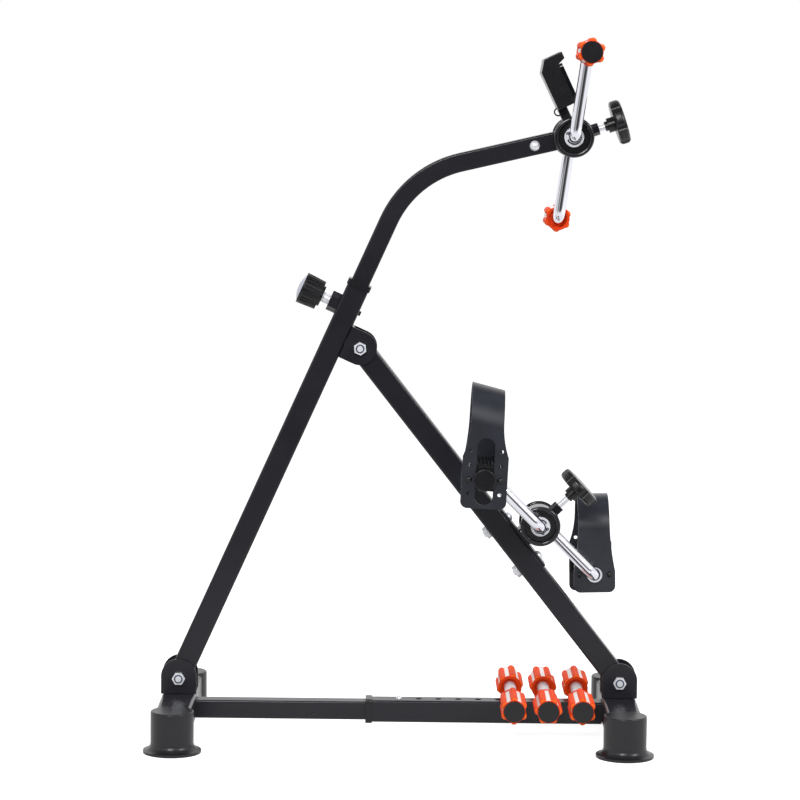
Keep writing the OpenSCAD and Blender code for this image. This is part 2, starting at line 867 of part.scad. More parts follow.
module front_leg() {
    color(steel_black) at_front_leg() difference() {
        union() {
            intersection() {
                translate([0, 0, -leg_w / 2]) linear_extrude(leg_top + leg_w / 2) leg_section();
                round_end(0, 1, leg_top + over);
            }
            translate([-leg_w / 2, 0, clamp_z]) rotate([0, -90, 0]) {
                cylinder(d = clamp_nut_d, h = clamp_nut_h, $fn = 6);
            }
        }
        bolt_hole_y(bolt_d + 2 * hole_fit);
        translate([0, 0, clamp_z]) rotate([0, -90, 0]) {
            translate([0, 0, inner_w / 2]) cylinder(d = clamp_screw_d + 2 * hole_fit, h = clamp_nut_end);
        }
        translate([0, 0, clamp_z]) rotate([0, 90, 0]) cylinder(d = nub_d + 2 * seat_fit, h = leg_w);
    }
}

module apex_bracket() {
    web_x = leg_w / 2;
    color(steel_black) at_front_leg() translate([0, 0, apex_run]) difference() {
        union() {
            translate([web_x, -cheek_out, -apex_bracket_r]) {
                cube([plate_t, 2 * cheek_out, 2 * apex_bracket_r]);
            }
            for (s = [-1, 1]) {
                translate([0, s * (cheek_in + plate_t / 2), 0]) along_y(plate_t) {
                    translate([web_x, -apex_bracket_r]) square([apex_offset - web_x, 2 * apex_bracket_r]);
                    translate([apex_offset, 0]) circle(apex_bracket_r);
                }
            }
        }
        translate([apex_offset, 0, 0]) bolt_hole_y(bolt_d + 2 * seat_fit);
    }
}

module apex_bolt() {
    color(zinc) at_front_leg() translate([apex_offset, 0, apex_run]) hinge_bolt();
}

module mast_bush() {
    color(plastic_black) at_front_leg() difference() {
        union() {
            translate([0, 0, leg_top]) guide_bush(mast_flange, mast_sleeve);
            translate([bore_w / 2 - slide_gap / 2, 0, clamp_z]) rotate([0, 90, 0]) {
                cylinder(d = nub_d, h = tube_wall + slide_gap / 2 + nub_rise);
            }
        }
        translate([0, 0, clamp_z]) rotate([0, -90, 0]) {
            cylinder(d = clamp_screw_d + 2 * hole_fit, h = leg_w);
        }
    }
}

// Height clamp: drawn along the screw, from the leg's middle outwards
module clamp_pad() {
    color(plastic_black) at_clamp() translate([0, 0, inner_w / 2 + pass_gap]) {
        cylinder(d = clamp_pad_d, h = clamp_tip - inner_w / 2 - pass_gap);
    }
}

module clamp_screw() {
    start = clamp_tip + seat_fit;
    color(zinc) at_clamp() translate([0, 0, start]) {
        cylinder(d = clamp_screw_d, h = clamp_knob_start + clamp_grip - start);
    }
}

module clamp_knob() {
    inner_r = (clamp_knob_d - clamp_knob_taper) / 2;
    color(plastic_black) at_clamp() translate([0, 0, clamp_knob_start]) difference() {
        union() {
            cylinder(d = clamp_collar_d, h = clamp_collar_h + over);
            translate([0, 0, clamp_collar_h]) {
                cylinder(r1 = inner_r, r2 = clamp_knob_d / 2, h = clamp_knob_h);
            }
        }
        for (i = [0 : clamp_flutes - 1]) {
            rotate(i * 360 / clamp_flutes) {
                translate([inner_r + clamp_flute_r / 3, 0, clamp_collar_h - over]) {
                    cylinder(r = clamp_flute_r, h = clamp_knob_h - clamp_rim + over);
                }
            }
        }
        translate([0, 0, -over]) {
            cylinder(d = clamp_screw_d + 2 * seat_fit, h = clamp_grip + over + seat_fit);
        }
        translate([0, 0, clamp_collar_h + clamp_knob_h - clamp_cap_seat]) {
            cylinder(d = clamp_cap_d + 2 * seat_fit, h = clamp_cap_seat + over);
        }
    }
}

module clamp_knob_cap() {
    color(zinc) at_clamp() translate([0, 0, clamp_knob_end - clamp_cap_seat + seat_fit]) {
        cylinder(d = clamp_cap_d, h = clamp_cap_seat);
        translate([0, 0, clamp_cap_seat]) dome(clamp_cap_d, clamp_dome_h);
    }
}

module rear_leg() {
    color(steel_black) at_rear_leg() difference() {
        intersection() {
            translate([0, 0, -leg_w / 2]) linear_extrude(rear_leg_len + leg_w) leg_section();
            round_end(0, 1, rear_leg_len + leg_w);
            round_end(rear_leg_len, -1, rear_leg_len + leg_w);
        }
        bolt_hole_y(bolt_d + 2 * hole_fit);
        translate([0, 0, rear_leg_len]) bolt_hole_y(bolt_d + 2 * apex_play);
        for (s = [-1, 1]) {
            translate([-leg_w, 0, foot_hub_run + s * saddle_bolts_apart / 2]) rotate([0, 90, 0]) {
                cylinder(d = bolt_d + 2 * seat_fit, h = 2 * leg_w);
            }
        }
    }
}

// Foot drum's saddle and bolts: drawn from the drum's middle, with the leg below
module foot_saddle() {
    color(steel_black) at_foot_drum() difference() {
        union() {
            translate([0, 0, saddle_face]) linear_extrude(plate_t) {
                square([saddle_len, leg_w], center = true);
            }
            for (s = [-1, 1]) {
                translate([s * saddle_webs_apart / 2 - plate_t / 2, -leg_w / 2, saddle_face]) {
                    cube([plate_t, leg_w, -saddle_face]);
                }
            }
        }
        along_y(drum_len) circle(drum_waist_r + seat_fit);
        for (s = [-1, 1]) {
            translate([s * saddle_bolts_apart / 2, 0, saddle_face - over]) {
                cylinder(d = bolt_d + 2 * seat_fit, h = plate_t + 2 * over);
            }
        }
    }
}

module saddle_bolts() {
    head_z = saddle_face + plate_t;
    nut_z = saddle_face - leg_w - nut_h;
    color(zinc) at_foot_drum() for (s = [-1, 1]) {
        translate([s * saddle_bolts_apart / 2, 0, 0]) {
            translate([0, 0, nut_z - bolt_end]) cylinder(d = bolt_d, h = head_z - nut_z + bolt_end);
            translate([0, 0, head_z]) dome(dome_d, dome_h);
            translate([0, 0, nut_z]) hexagon(nut_af, nut_h);
        }
    }
}

// Drum with end rims and a threaded boss along the resistance screw
module drum_body() {
    difference() {
        union() {
            difference() {
                union() {
                    along_y(drum_len) circle(drum_waist_r);
                    for (s = [-1, 1]) {
                        translate([0, s * (drum_len - drum_rim_w) / 2, 0]) lay_y() {
                            rotate_extrude() disc_half(drum_r, drum_rim_w, drum_edge);
                        }
                    }
                }
                along_y(drum_len + over) circle(drum_bore_r);
            }
            along_screw() translate([0, 0, boss_in]) hexagon(boss_d, boss_out - boss_in);
        }
        along_screw() {
            cylinder(d = screw_d + 2 * hole_fit, h = boss_out + over);
            cylinder(d = pad_d + 2 * hole_fit, h = pad_bore_top);
        }
    }
}

module drum_bushes() {
    for (s = [-1, 1]) {
        translate([0, s * (bush_face - drum_bush_len / 2), 0]) along_y(drum_bush_len) difference() {
            circle(drum_bore_r - seat_fit);
            circle(d = rod_d + 2 * run_fit);
        }
    }
}

module brake_pad() {
    along_screw() difference() {
        cylinder(d = pad_d, h = pad_top);
        along_y(pad_d + over) circle(rod_d / 2 + pad_gap);
        translate([-pad_d, -pad_d, -over]) cube([2 * pad_d, 2 * pad_d, over + rod_d / 4]);
    }
}

module tension_screw(knob_out) {
    start = pad_top + seat_fit;
    along_screw() translate([0, 0, start]) cylinder(d = screw_d, h = knob_out - start);
}

// Disc with round edges and finger scallops round its rim
module scalloped_disc() {
    difference() {
        rotate_extrude() disc_half(knob_d / 2, knob_t, knob_edge);
        for (i = [0 : scallops - 1]) {
            rotate((i + 0.5) * 360 / scallops) {
                translate([knob_d / 2 + scallop_r - scallop_depth, 0, 0]) {
                    cylinder(r = scallop_r, h = knob_t + over, center = true);
                }
            }
        }
    }
}

module tension_knob(knob_out) {
    under = -knob_t / 2;
    along_screw() translate([0, 0, knob_out]) difference() {
        union() {
            scalloped_disc();
            translate([0, 0, under - knob_collar_h]) cylinder(d = knob_collar_d, h = knob_collar_h + over);
            translate([0, 0, -knob_grip]) cylinder(d = knob_neck_d, h = knob_neck_h + over);
        }
        translate([0, 0, -knob_grip - over]) {
            cylinder(d = screw_d + 2 * seat_fit, h = knob_grip + over + seat_fit);
        }
    }
}

module foot_drum() {
    color(steel_black) at_foot_drum() drum_body();
}

module foot_drum_bushes() {
    color(plastic_black) at_foot_drum() drum_bushes();
}

module foot_brake_pad() {
    color(plastic_black) at_foot_drum() brake_pad();
}

module foot_tension_screw() {
    color(zinc) at_foot_drum() tension_screw(foot_knob_out);
}

module foot_tension_knob() {
    color(plastic_black) at_foot_drum() tension_knob(foot_knob_out);
}

// Hand drum: its square stub plugs into the mast
module hand_drum() {
    stub_start = drum_bore_r / 2;
    color(steel_black) at_hand_drum() difference() {
        union() {
            drum_body();
            difference() {
                translate([0, 0, -stub_reach]) linear_extrude(stub_reach - stub_start) {
                    tube_section(stub_w, stub_w, inner_corner - tube_wall, stub_wall);
                }
                along_y(drum_len) circle(drum_bore_r + drum_wall / 2);
            }
        }
        translate([0, 0, -stub_bolt_at]) bolt_hole_y(bolt_d + 2 * seat_fit);
    }
}

module hand_drum_bolt() {
    color(zinc) at_hand_drum() translate([0, 0, -stub_bolt_at]) {
        translate([0, -inner_w / 2, 0]) lay_y() cylinder(d = bolt_d, h = inner_w + nut_h + bolt_end);
        translate([0, -inner_w / 2, 0]) rotate([90, 0, 0]) dome(dome_d, dome_h);
        translate([0, inner_w / 2, 0]) lay_y() hexagon(nut_af, nut_h);
    }
}

module hand_drum_bushes() {
    color(plastic_black) at_hand_drum() drum_bushes();
}

module hand_brake_pad() {
    color(plastic_black) at_hand_drum() brake_pad();
}

module hand_tension_screw() {
    color(zinc) at_hand_drum() tension_screw(hand_knob_out);
}

module hand_tension_knob() {
    color(plastic_black) at_hand_drum() tension_knob(hand_knob_out);
}

// Bar along the mast: straight in the leg, one bend, then the arm to the hand drum
module mast_bar(w, r, past) {
    low = leg_top - mast_insert - past;
    bend_start = mast_corner - mast_tangent;
    bend_w = w - 2 * bend_draw;
    arm_start = mast_tangent - bend_lap;
    at_front_leg() {
        translate([0, 0, low]) linear_extrude(bend_start + bend_lap - low) rounded(w, w, r);
        translate([mast_bend_r, 0, bend_start]) rotate([90, 0, 0]) rotate([0, 0, 180 - mast_turn]) {
            rotate_extrude(angle = mast_turn) translate([mast_bend_r, 0]) rounded(bend_w, bend_w, r);
        }
        translate([0, 0, mast_corner]) rotate([0, mast_turn, 0]) translate([0, 0, arm_start]) {
            linear_extrude(mast_arm - arm_start + past) rounded(w, w, r);
        }
    }
}

// Mast tube, coped round the hand drum
module mast() {
    color(steel_black) difference() {
        mast_bar(inner_w, inner_corner, 0);
        mast_bar(inner_bore_w, inner_corner - tube_wall, over);
        at_hand_drum() {
            along_y(drum_len) circle(drum_waist_r + pass_gap);
            translate([0, 0, -stub_bolt_at]) bolt_hole_y(bolt_d + 2 * seat_fit);
        }
    }
}

// Half of a crank: axle, arm up along +Z on the near side, and spindle
module crank_half(end) {
    rod_r = rod_d / 2;
    start = arm_y - rod_bend_r;
    rotate([90, 0, 0]) cylinder(r = rod_r, h = start);
    translate([0, -start, rod_bend_r]) rotate([0, 90, 0]) rotate([0, 0, -90]) {
        rotate_extrude(angle = 90) translate([rod_bend_r, 0]) circle(rod_r);
    }
    translate([0, -arm_y, rod_bend_r]) cylinder(r = rod_r, h = crank_r - 2 * rod_bend_r);
    translate([0, -spindle_at, crank_r - rod_bend_r]) rotate([0, 90, 0]) rotate([0, 0, 90]) {
        rotate_extrude(angle = 90) translate([rod_bend_r, 0]) circle(rod_r);
    }
    translate([0, -spindle_at, crank_r]) rotate([90, 0, 0]) cylinder(r = rod_r, h = end - spindle_at);
    translate([0, -bush_face - pass_gap, 0]) rotate([90, 0, 0]) cylinder(d = collar_d, h = collar_t);
}

// Both halves of a crank, with the near arm along +Z
module crank(end) {
    crank_half(end);
    rotate([180, 0, 0]) crank_half(end);
}

module at_hand_crank() {
    translate(hand_hub) rotate([0, 90 - hand_arm_angle, 0]) children();
}

module at_foot_crank() {
    translate(foot_hub) rotate([0, 90 - foot_arm_angle, 0]) children();
}

// Moves a piece drawn outwards along +Y to a crank's near spindle or far spindle
module on_near_spindle() {
    translate([0, 0, crank_r]) near_side() children();
}

module on_far_spindle() {
    translate([0, 0, -crank_r]) children();
}

module hand_crank() {
    end = grip_out - rod_end_back;
    color(chrome) at_hand_crank() difference() {
        crank(end);
        on_near_spindle() lay_y() translate([0, 0, end]) plug_hole();
        on_far_spindle() lay_y() translate([0, 0, end]) plug_hole();
    }
}

module grip_end_caps() {
    color(plastic_black) at_hand_crank() {
        on_near_spindle() translate([0, grip_out, 0]) end_cap();
        on_far_spindle() translate([0, grip_out, 0]) end_cap();
    }
}

module near_grip() {
    at_hand_crank() on_near_spindle() translate([0, grip_in, 0]) massage_roller(grip_turn);
}

module far_grip() {
    at_hand_crank() on_far_spindle() translate([0, grip_in, 0]) massage_roller(grip_turn);
}

module pedal_collar() {
    translate([0, spindle_at, 0]) lay_y() cylinder(d = pedal_collar_d, h = pedal_collar_t);
}

module foot_crank() {
    color(chrome) at_foot_crank() {
        crank(spindle_end);
        on_near_spindle() pedal_collar();
        on_far_spindle() pedal_collar();
    }
}

// Pedal pieces: drawn outwards along +Y from the middle of the exerciser, tread up
module at_near_pedal() {
    translate(near_pedal_at) rotate([0, near_tilt, 0]) near_side() children();
}

module at_far_pedal() {
    translate(far_pedal_at) rotate([0, far_tilt, 0]) children();
}

module pedal_tread() {
    plate_z = tread_top - tread_ridge;
    translate([-tread_w / 2, plate_z - tread_t]) square([tread_w, tread_t]);
    for (i = [0 : ridge_count - 1]) {
        translate([(i - (ridge_count - 1) / 2) * ridge_pitch, plate_z + tread_ridge / 2]) {
            square([ridge_pitch / 2, tread_ridge + seat_fit], center = true);
        }
    }
    for (s = [-1, 1]) {
        translate([s * (tread_w - pedal_wall) / 2, plate_z / 2]) {
            square([pedal_wall, plate_z], center = true);
        }
    }
    translate([-pedal_wall / 2, 0]) square([pedal_wall, plate_z - tread_t / 2]);
    circle(d = pedal_tube_d);
}

module pedal_end() {
    top = tread_top - tread_ridge;
    translate([0, (pedal_shoulder - pedal_drop) / 2]) {
        rounded(pedal_w, pedal_shoulder + pedal_drop, pedal_corner);
    }
    translate([-tread_w / 2, 0]) square([tread_w, top]);
}

module pedal_body() {
    screw_hole = strap_screw_len - strap_t + over;
    difference() {
        union() {
            from_y(pedal_in, pedal_out) pedal_tread();
            from_y(pedal_in, pedal_in + pedal_wall) pedal_end();
            from_y(pedal_out - pedal_wall, pedal_out) pedal_end();
            for (x = [-1, 1]) {
                translate([x * strap_hole_span / 2, 0, 0]) {
                    from_y(pedal_in, pedal_out) circle(d = 2 * strap_screw_d);
                }
            }
            from_y(pedal_out - over, pedal_cap_in + over) circle(d = pedal_tube_d);
            translate([0, pedal_cap_in, 0]) lay_y() translate([0, 0, pedal_cap_t / 2]) {
                rotate_extrude() disc_half(pedal_cap_d / 2, pedal_cap_t, pedal_cap_t / 5);
            }
        }
        from_y(pedal_in - over, spindle_end + pass_gap) circle(d = rod_d + 2 * run_fit);
        for (x = [-1, 1]) {
            translate([x * strap_hole_span / 2, 0, 0]) {
                from_y(pedal_in - over, pedal_in + screw_hole) circle(d = strap_screw_d + 2 * seat_fit);
                from_y(pedal_out - screw_hole, pedal_out + over) circle(d = strap_screw_d + 2 * seat_fit);
            }
        }
    }
}

// Outline of the strap seen along Y: a plate of width w below, a waist, then a band of even width
module strap_outline(w, low, curve, top) {
    band_top = top + strap_w;
    difference() {
        translate([0, (band_top - low) / 2]) rounded(w, band_top + low, strap_corner);
        for (s = [-1, 1]) {
            translate([s * (strap_waist / 2 + curve), waist_at]) circle(curve);
            translate([s * (strap_waist + w) / 2, (waist_at + band_top) / 2]) {
                square([w, band_top - waist_at + over], center = true);
            }
        }
    }
}

// Loop of the strap seen along X, in Y and Z, its top at Z = 0
module strap_loop(grow, top) {
    half = strap_half + grow;
    bend = strap_arch + grow;
    reach = top + strap_drop + strap_w;
    translate([strap_mid, 0]) {
        translate([-half, -reach]) square([2 * half, reach + grow - bend]);
        translate([-half + bend, grow - 2 * bend]) square([2 * (half - bend), 2 * bend]);
        for (s = [-1, 1]) {
            translate([s * (half - bend), grow - bend]) circle(bend);
        }
    }
}

module strap_cuts() {
    slot_r = slot_w / 2;
    plate_in = strap_out - strap_t - over;
    from_y(plate_in, strap_out + over) {
        translate([0, slot_top - slot_r]) circle(slot_r);
        translate([0, slot_r - slot_drop]) circle(slot_r);
        translate([-slot_r, slot_r - slot_drop]) square([slot_w, slot_top + slot_drop - slot_w]);
        for (x = [-1, 1], row = strap_rows) {
            translate([x * strap_hole_span / 2, row * strap_hole_pitch]) circle(d = strap_hole_d);
        }
    }
    from_y(strap_in - over, strap_in + strap_t + over) {
        circle(d = pedal_tube_d + 2 * pass_gap);
        for (x = [-1, 1]) {
            translate([x * strap_hole_span / 2, 0]) circle(d = strap_hole_d);
        }
    }
}

module strap(top, slope) {
    difference() {
        intersection() {
            translate([0, 0, top]) rotate([0, slope, 0]) rotate([90, 0, 90]) {
                linear_extrude(2 * strap_w, center = true) difference() {
                    strap_loop(0, top);
                    strap_loop(-strap_t, top);
                }
            }
            union() {
                from_y(strap_mid, strap_out + over) strap_outline(strap_w, strap_drop, waist_curve, top);
                from_y(strap_in - over, strap_mid) {
                    strap_outline(strap_inner_w, strap_inner_drop, inner_curve, top);
                }
            }
        }
        strap_cuts();
    }
}

module strap_screws() {
    for (x = [-1, 1]) {
        translate([x * strap_hole_span / 2, strap_out + seat_fit, 0]) lay_y() strap_screw();
        translate([x * strap_hole_span / 2, strap_in - seat_fit, 0]) rotate([90, 0, 0]) strap_screw();
    }
}

module strap_screw() {
    dome(strap_head_d, strap_head_h);
    translate([0, 0, -strap_screw_len]) cylinder(d = strap_screw_d, h = strap_screw_len);
}

module near_pedal() {
    color(plastic_black) at_near_pedal() pedal_body();
}

module near_strap() {
    color(rubber_black) at_near_pedal() strap(near_strap_top, near_slope);
}

module near_strap_screws() {
    color(plastic_black) at_near_pedal() strap_screws();
}

module far_pedal() {
    color(plastic_black) at_far_pedal() pedal_body();
}

module far_strap() {
    color(rubber_black) at_far_pedal() strap(far_strap_top, far_slope);
}

module far_strap_screws() {
    color(plastic_black) at_far_pedal() strap_screws();
}

// Counter: X towards its face, Z up its back, measured from the hand drum's axis
module counter_case() {
    color(plastic_black) at_counter() difference() {
        union() {
            along_y(counter_w) polygon([
                [-counter_back, counter_rise],
                [counter_face, counter_rise],
                [counter_face, counter_top - hood_h],
                [counter_face + hood_out, counter_top - hood_h + hood_slope],
                [counter_face + hood_out, counter_top],
                [counter_cut_top - counter_back, counter_top],
                [-counter_back, counter_top - counter_cut_back]
            ]);
            translate([-counter_back, -clip_w / 2, 0]) cube([clip_depth, clip_w, counter_rise + over]);
        }
        along_y(drum_len) circle(drum_waist_r + seat_fit);
        along_y(drum_len) translate([-counter_w, -over]) square([2 * counter_w, over + drum_bore_r / 2]);
    }
}

module counter_lens() {
    mid = counter_rise + frame_h / 2;
    screen_h = frame_h - screen_low - screen_margin;
    screen_w = counter_w - 2 * screen_margin;
    color(lens_black) at_counter() translate([counter_face + seat_fit, 0, 0]) rotate([90, 0, 90]) {
        difference() {
            linear_extrude(counter_front) translate([0, mid]) rounded(counter_w, frame_h, lens_corner);
            translate([0, counter_rise + screen_low + screen_h / 2, counter_front - screen_sink]) {
                linear_extrude(screen_sink + over) rounded(screen_w, screen_h, screen_corner);
            }
            translate([0, button_at, -over]) {
                cylinder(d = counter_button_d + 2 * pass_gap, h = counter_front + 2 * over);
            }
        }
    }
}

module counter_button() {
    front = counter_face + counter_front + button_proud;
    color(orange_rubber) at_counter() translate([front - button_len, 0, button_at]) rotate([0, 90, 0]) {
        cylinder(d = counter_button_d, h = button_len - button_proud);
        translate([0, 0, button_len - button_proud]) dome(counter_button_d, button_proud);
    }
}

// Short lead that loops from the back of the case into its clip
module sensor_lead() {
    loop_z = counter_rise - lead_loop / 2;
    color(plastic_black) at_counter() translate([-counter_back, 0, loop_z]) {
        rotate([90, 0, 0]) rotate([0, 0, 90]) {
            rotate_extrude(angle = 180) translate([lead_loop, 0]) circle(d = lead_d);
        }
    }
}

rear_crossbar();
rear_feet();
base_outer_tube();
base_tube_bush();
rear_hinge_bracket();
rear_hinge_bolt();
roller_rods();
roller_end_caps();
roller_1_near();
roller_1_far();
roller_2_near();
roller_2_far();
roller_3_near();
roller_3_far();
front_crossbar();
front_feet();
base_inner_tube();
front_hinge_bracket();
front_hinge_bolt();
snap_button();
snap_spring();
front_leg();
apex_bracket();
apex_bolt();
mast_bush();
clamp_pad();
clamp_screw();
clamp_knob();
clamp_knob_cap();
rear_leg();
foot_saddle();
saddle_bolts();
foot_drum();
foot_drum_bushes();
foot_brake_pad();
foot_tension_screw();
foot_tension_knob();
foot_crank();
near_pedal();
near_strap();
near_strap_screws();
far_pedal();
far_strap();
far_strap_screws();
mast();
hand_drum();
hand_drum_bolt();
hand_drum_bushes();
hand_brake_pad();
hand_tension_screw();
hand_tension_knob();
counter_case();
counter_lens();
counter_button();
sensor_lead();
hand_crank();
grip_end_caps();
near_grip();
far_grip();
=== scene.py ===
"""Standing pedal exerciser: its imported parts, dressed in the order in which they are put together."""
import json
from math import pi, radians

import bpy
from mathutils import Matrix, Vector

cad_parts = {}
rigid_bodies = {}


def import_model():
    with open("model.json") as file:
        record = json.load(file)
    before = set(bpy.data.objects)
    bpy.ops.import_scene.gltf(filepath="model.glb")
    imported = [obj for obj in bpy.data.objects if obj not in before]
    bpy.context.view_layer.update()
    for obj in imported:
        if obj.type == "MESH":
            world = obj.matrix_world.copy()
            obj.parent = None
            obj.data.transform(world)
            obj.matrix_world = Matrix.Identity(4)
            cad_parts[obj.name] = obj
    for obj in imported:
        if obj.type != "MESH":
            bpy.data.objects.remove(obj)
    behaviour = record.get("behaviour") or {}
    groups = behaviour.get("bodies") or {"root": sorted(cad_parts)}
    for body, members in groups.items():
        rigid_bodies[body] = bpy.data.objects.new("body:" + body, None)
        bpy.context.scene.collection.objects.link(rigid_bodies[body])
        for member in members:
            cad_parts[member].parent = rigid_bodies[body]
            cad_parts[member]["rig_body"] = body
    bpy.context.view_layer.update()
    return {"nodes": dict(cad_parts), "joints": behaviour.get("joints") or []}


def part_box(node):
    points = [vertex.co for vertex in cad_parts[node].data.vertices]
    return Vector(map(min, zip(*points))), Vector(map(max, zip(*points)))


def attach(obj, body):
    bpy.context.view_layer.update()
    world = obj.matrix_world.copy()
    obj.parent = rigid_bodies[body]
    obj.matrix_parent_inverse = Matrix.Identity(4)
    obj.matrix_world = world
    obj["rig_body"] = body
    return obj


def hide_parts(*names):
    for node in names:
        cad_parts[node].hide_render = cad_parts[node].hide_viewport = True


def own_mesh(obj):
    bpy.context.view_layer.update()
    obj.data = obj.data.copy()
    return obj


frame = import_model()
scene = bpy.context.scene
scene.view_settings.view_transform = "Standard"
MM = 0.001


# Camera
# A long lens looks across the near side of the exerciser from the height of its hand crank, a little
# downwards, with a slight roll of the frame.
CAMERA_AT = (-0.0029, -4.0, 0.8944)
CAMERA_TILT = radians(83.75)
CAMERA_ROLL = radians(0.62)
LENS_MM = 134.3

bpy.ops.object.select_all(action="DESELECT")
bpy.ops.object.camera_add(location=CAMERA_AT)
camera = bpy.context.object
camera_turn = Matrix.Rotation(CAMERA_TILT, 3, "X") @ Matrix.Rotation(CAMERA_ROLL, 3, "Z")
camera.rotation_euler = camera_turn.to_euler()
camera.data.lens = LENS_MM
scene.camera = camera


# Studio
# A seamless white floor and surround, with two soft boxes in front and one overhead. The eye sees white all
# round, and so does a mirror, apart from the dim room low down behind the camera and the ceiling.
FLOOR_SIZE = 60
FLOOR_DROP = 0.2 * MM
AMBIENT = 0.3
FLOOR_GLOW = 0.92
FLOOR_SHADE = 0.4
PAPER_REACH = (0.7, 2.4)
PAPER_TONE = 0.7
PAPER_GREY = (0.5, 0.5, 0.5, 1)
PURE_WHITE = (1, 1, 1, 1)
# Brightness of the low part of the room, by degrees round from the camera's side towards +X
ROOM_TONES = (
    (-75, 1), (-52, 0.7), (-46, 0.22), (-32, 0.2), (-26, 0.5), (-16, 0.42),
    (-11, 0.06), (22, 0.05), (27, 0.25), (40, 0.3), (46, 1), (75, 1),
)
ROOM_LOW = (0.06, 0.18)
ROOM_HIGH = (0.55, 0.85)
CEILING = 0.2
LAMPS = {
    "key": {"at": (-0.7, -3.5, 2.5), "size": 1.1, "power": 80, "mirrored": True},
    "fill": {"at": (3.1, -2.1, 2.7), "size": 1.1, "power": 60, "mirrored": True},
    "overhead": {"at": (0.3, 0.2, 3.2), "size": 2.2, "power": 70, "mirrored": False},
}
LAMPS_AIM = Vector((0.05, 0, 0.45))


def add(tree, kind, sockets=None, **settings):
    """Adds a node, with its settings, and its sockets either linked to another's output or set."""
    node = tree.nodes.new(kind)
    for name, value in settings.items():
        setattr(node, name, value)
    for name, value in (sockets or {}).items():
        if isinstance(value, bpy.types.NodeSocket):
            tree.links.new(value, node.inputs[name])
        else:
            node.inputs[name].default_value = value
    return node


def ray_kinds(tree):
    """One where a ray comes from the eye, a reflection or glass, and the same for reflections alone."""
    path = add(tree, "ShaderNodeLightPath").outputs
    through = {0: path["Is Camera Ray"], 1: path["Is Transmission Ray"]}
    eye = add(tree, "ShaderNodeMath", through, operation="MAXIMUM")
    either = {0: eye.outputs[0], 1: path["Is Glossy Ray"]}
    return add(tree, "ShaderNodeMath", either, operation="MAXIMUM").outputs[0], path["Is Glossy Ray"]


def room_tone(tree, heading):
    """Brightness of the low part of the room in a direction, and the direction's parts."""
    parts = add(tree, "ShaderNodeSeparateXYZ", {0: heading}).outputs
    front = add(tree, "ShaderNodeMath", {0: parts["Y"], 1: -1.0}, operation="MULTIPLY")
    round_angle = add(tree, "ShaderNodeMath", {0: parts["X"], 1: front.outputs[0]}, operation="ARCTAN2")
    share = add(tree, "ShaderNodeMapRange", {
        "Value": round_angle.outputs[0], "From Min": -pi, "From Max": pi,
    })
    ramp = add(tree, "ShaderNodeValToRGB", {0: share.outputs[0]})
    for end in ramp.color_ramp.elements:
        end.color = PURE_WHITE
    for degrees, tone in ROOM_TONES:
        ramp.color_ramp.elements.new(0.5 + degrees / 360).color = (tone, tone, tone, 1)
    return ramp.outputs[0], parts


surround = bpy.data.worlds.new("studio_surround")
surround.use_nodes = True
scene.world = surround
tree = surround.node_tree
tree.nodes.clear()
seen, mirrored = ray_kinds(tree)
low_tone, parts = room_tone(tree, add(tree, "ShaderNodeTexCoord").outputs["Generated"])
rise = add(tree, "ShaderNodeMapRange", {
    "Value": parts["Z"], "From Min": ROOM_LOW[0], "From Max": ROOM_LOW[1],
}, interpolation_type="SMOOTHSTEP")
walls = add(tree, "ShaderNodeMix", {"Factor": rise.outputs[0], "A": low_tone, "B": 1.0})
height = add(tree, "ShaderNodeMapRange", {
    "Value": parts["Z"], "From Min": ROOM_HIGH[0], "From Max": ROOM_HIGH[1],
}, interpolation_type="SMOOTHSTEP")
room = add(tree, "ShaderNodeMix", {"Factor": height.outputs[0], "A": walls.outputs[0], "B": CEILING})
strength = add(tree, "ShaderNodeMix", {"Factor": mirrored, "A": 1.0, "B": room.outputs[0]})
white = add(tree, "ShaderNodeBackground", {"Color": PURE_WHITE, "Strength": strength.outputs[0]})
plain = add(tree, "ShaderNodeBackground", {"Color": PURE_WHITE, "Strength": AMBIENT})
mixed = add(tree, "ShaderNodeMixShader", {0: seen, 1: plain.outputs[0], 2: white.outputs[0]})
add(tree, "ShaderNodeOutputWorld", {"Surface": mixed.outputs[0]})

bpy.ops.mesh.primitive_plane_add(size=FLOOR_SIZE, location=(0, 0, -FLOOR_DROP))
floor = bpy.context.object
floor.name = "studio_floor"
seamless = bpy.data.materials.new("seamless_paper")
seamless.use_nodes = True
tree = seamless.node_tree
tree.nodes.clear()
seen, mirrored = ray_kinds(tree)
spot = add(tree, "ShaderNodeTexCoord").outputs["Object"]
low_tone, parts = room_tone(tree, spot)
away = add(tree, "ShaderNodeVectorMath", {0: spot}, operation="LENGTH")
beyond = add(tree, "ShaderNodeMapRange", {
    "Value": away.outputs["Value"], "From Min": PAPER_REACH[0], "From Max": PAPER_REACH[1],
}, interpolation_type="SMOOTHSTEP")
paper_tone = add(tree, "ShaderNodeMix", {"Factor": beyond.outputs[0], "A": PAPER_TONE, "B": low_tone})
bright = add(tree, "ShaderNodeMix", {"Factor": mirrored, "A": 1.0, "B": paper_tone.outputs[0]})
glowing = add(tree, "ShaderNodeMath", {0: bright.outputs[0], 1: FLOOR_GLOW}, operation="MULTIPLY")
shaded = add(tree, "ShaderNodeMath", {0: bright.outputs[0], 1: FLOOR_SHADE}, operation="MULTIPLY")
paper = add(tree, "ShaderNodeBsdfDiffuse", {"Color": PAPER_GREY})
glow = add(tree, "ShaderNodeEmission", {"Color": PURE_WHITE, "Strength": glowing.outputs[0]})
shade = add(tree, "ShaderNodeBsdfDiffuse", {"Color": shaded.outputs[0]})
lit = add(tree, "ShaderNodeAddShader", {0: glow.outputs[0], 1: shade.outputs[0]})
mixed = add(tree, "ShaderNodeMixShader", {0: seen, 1: paper.outputs[0], 2: lit.outputs[0]})
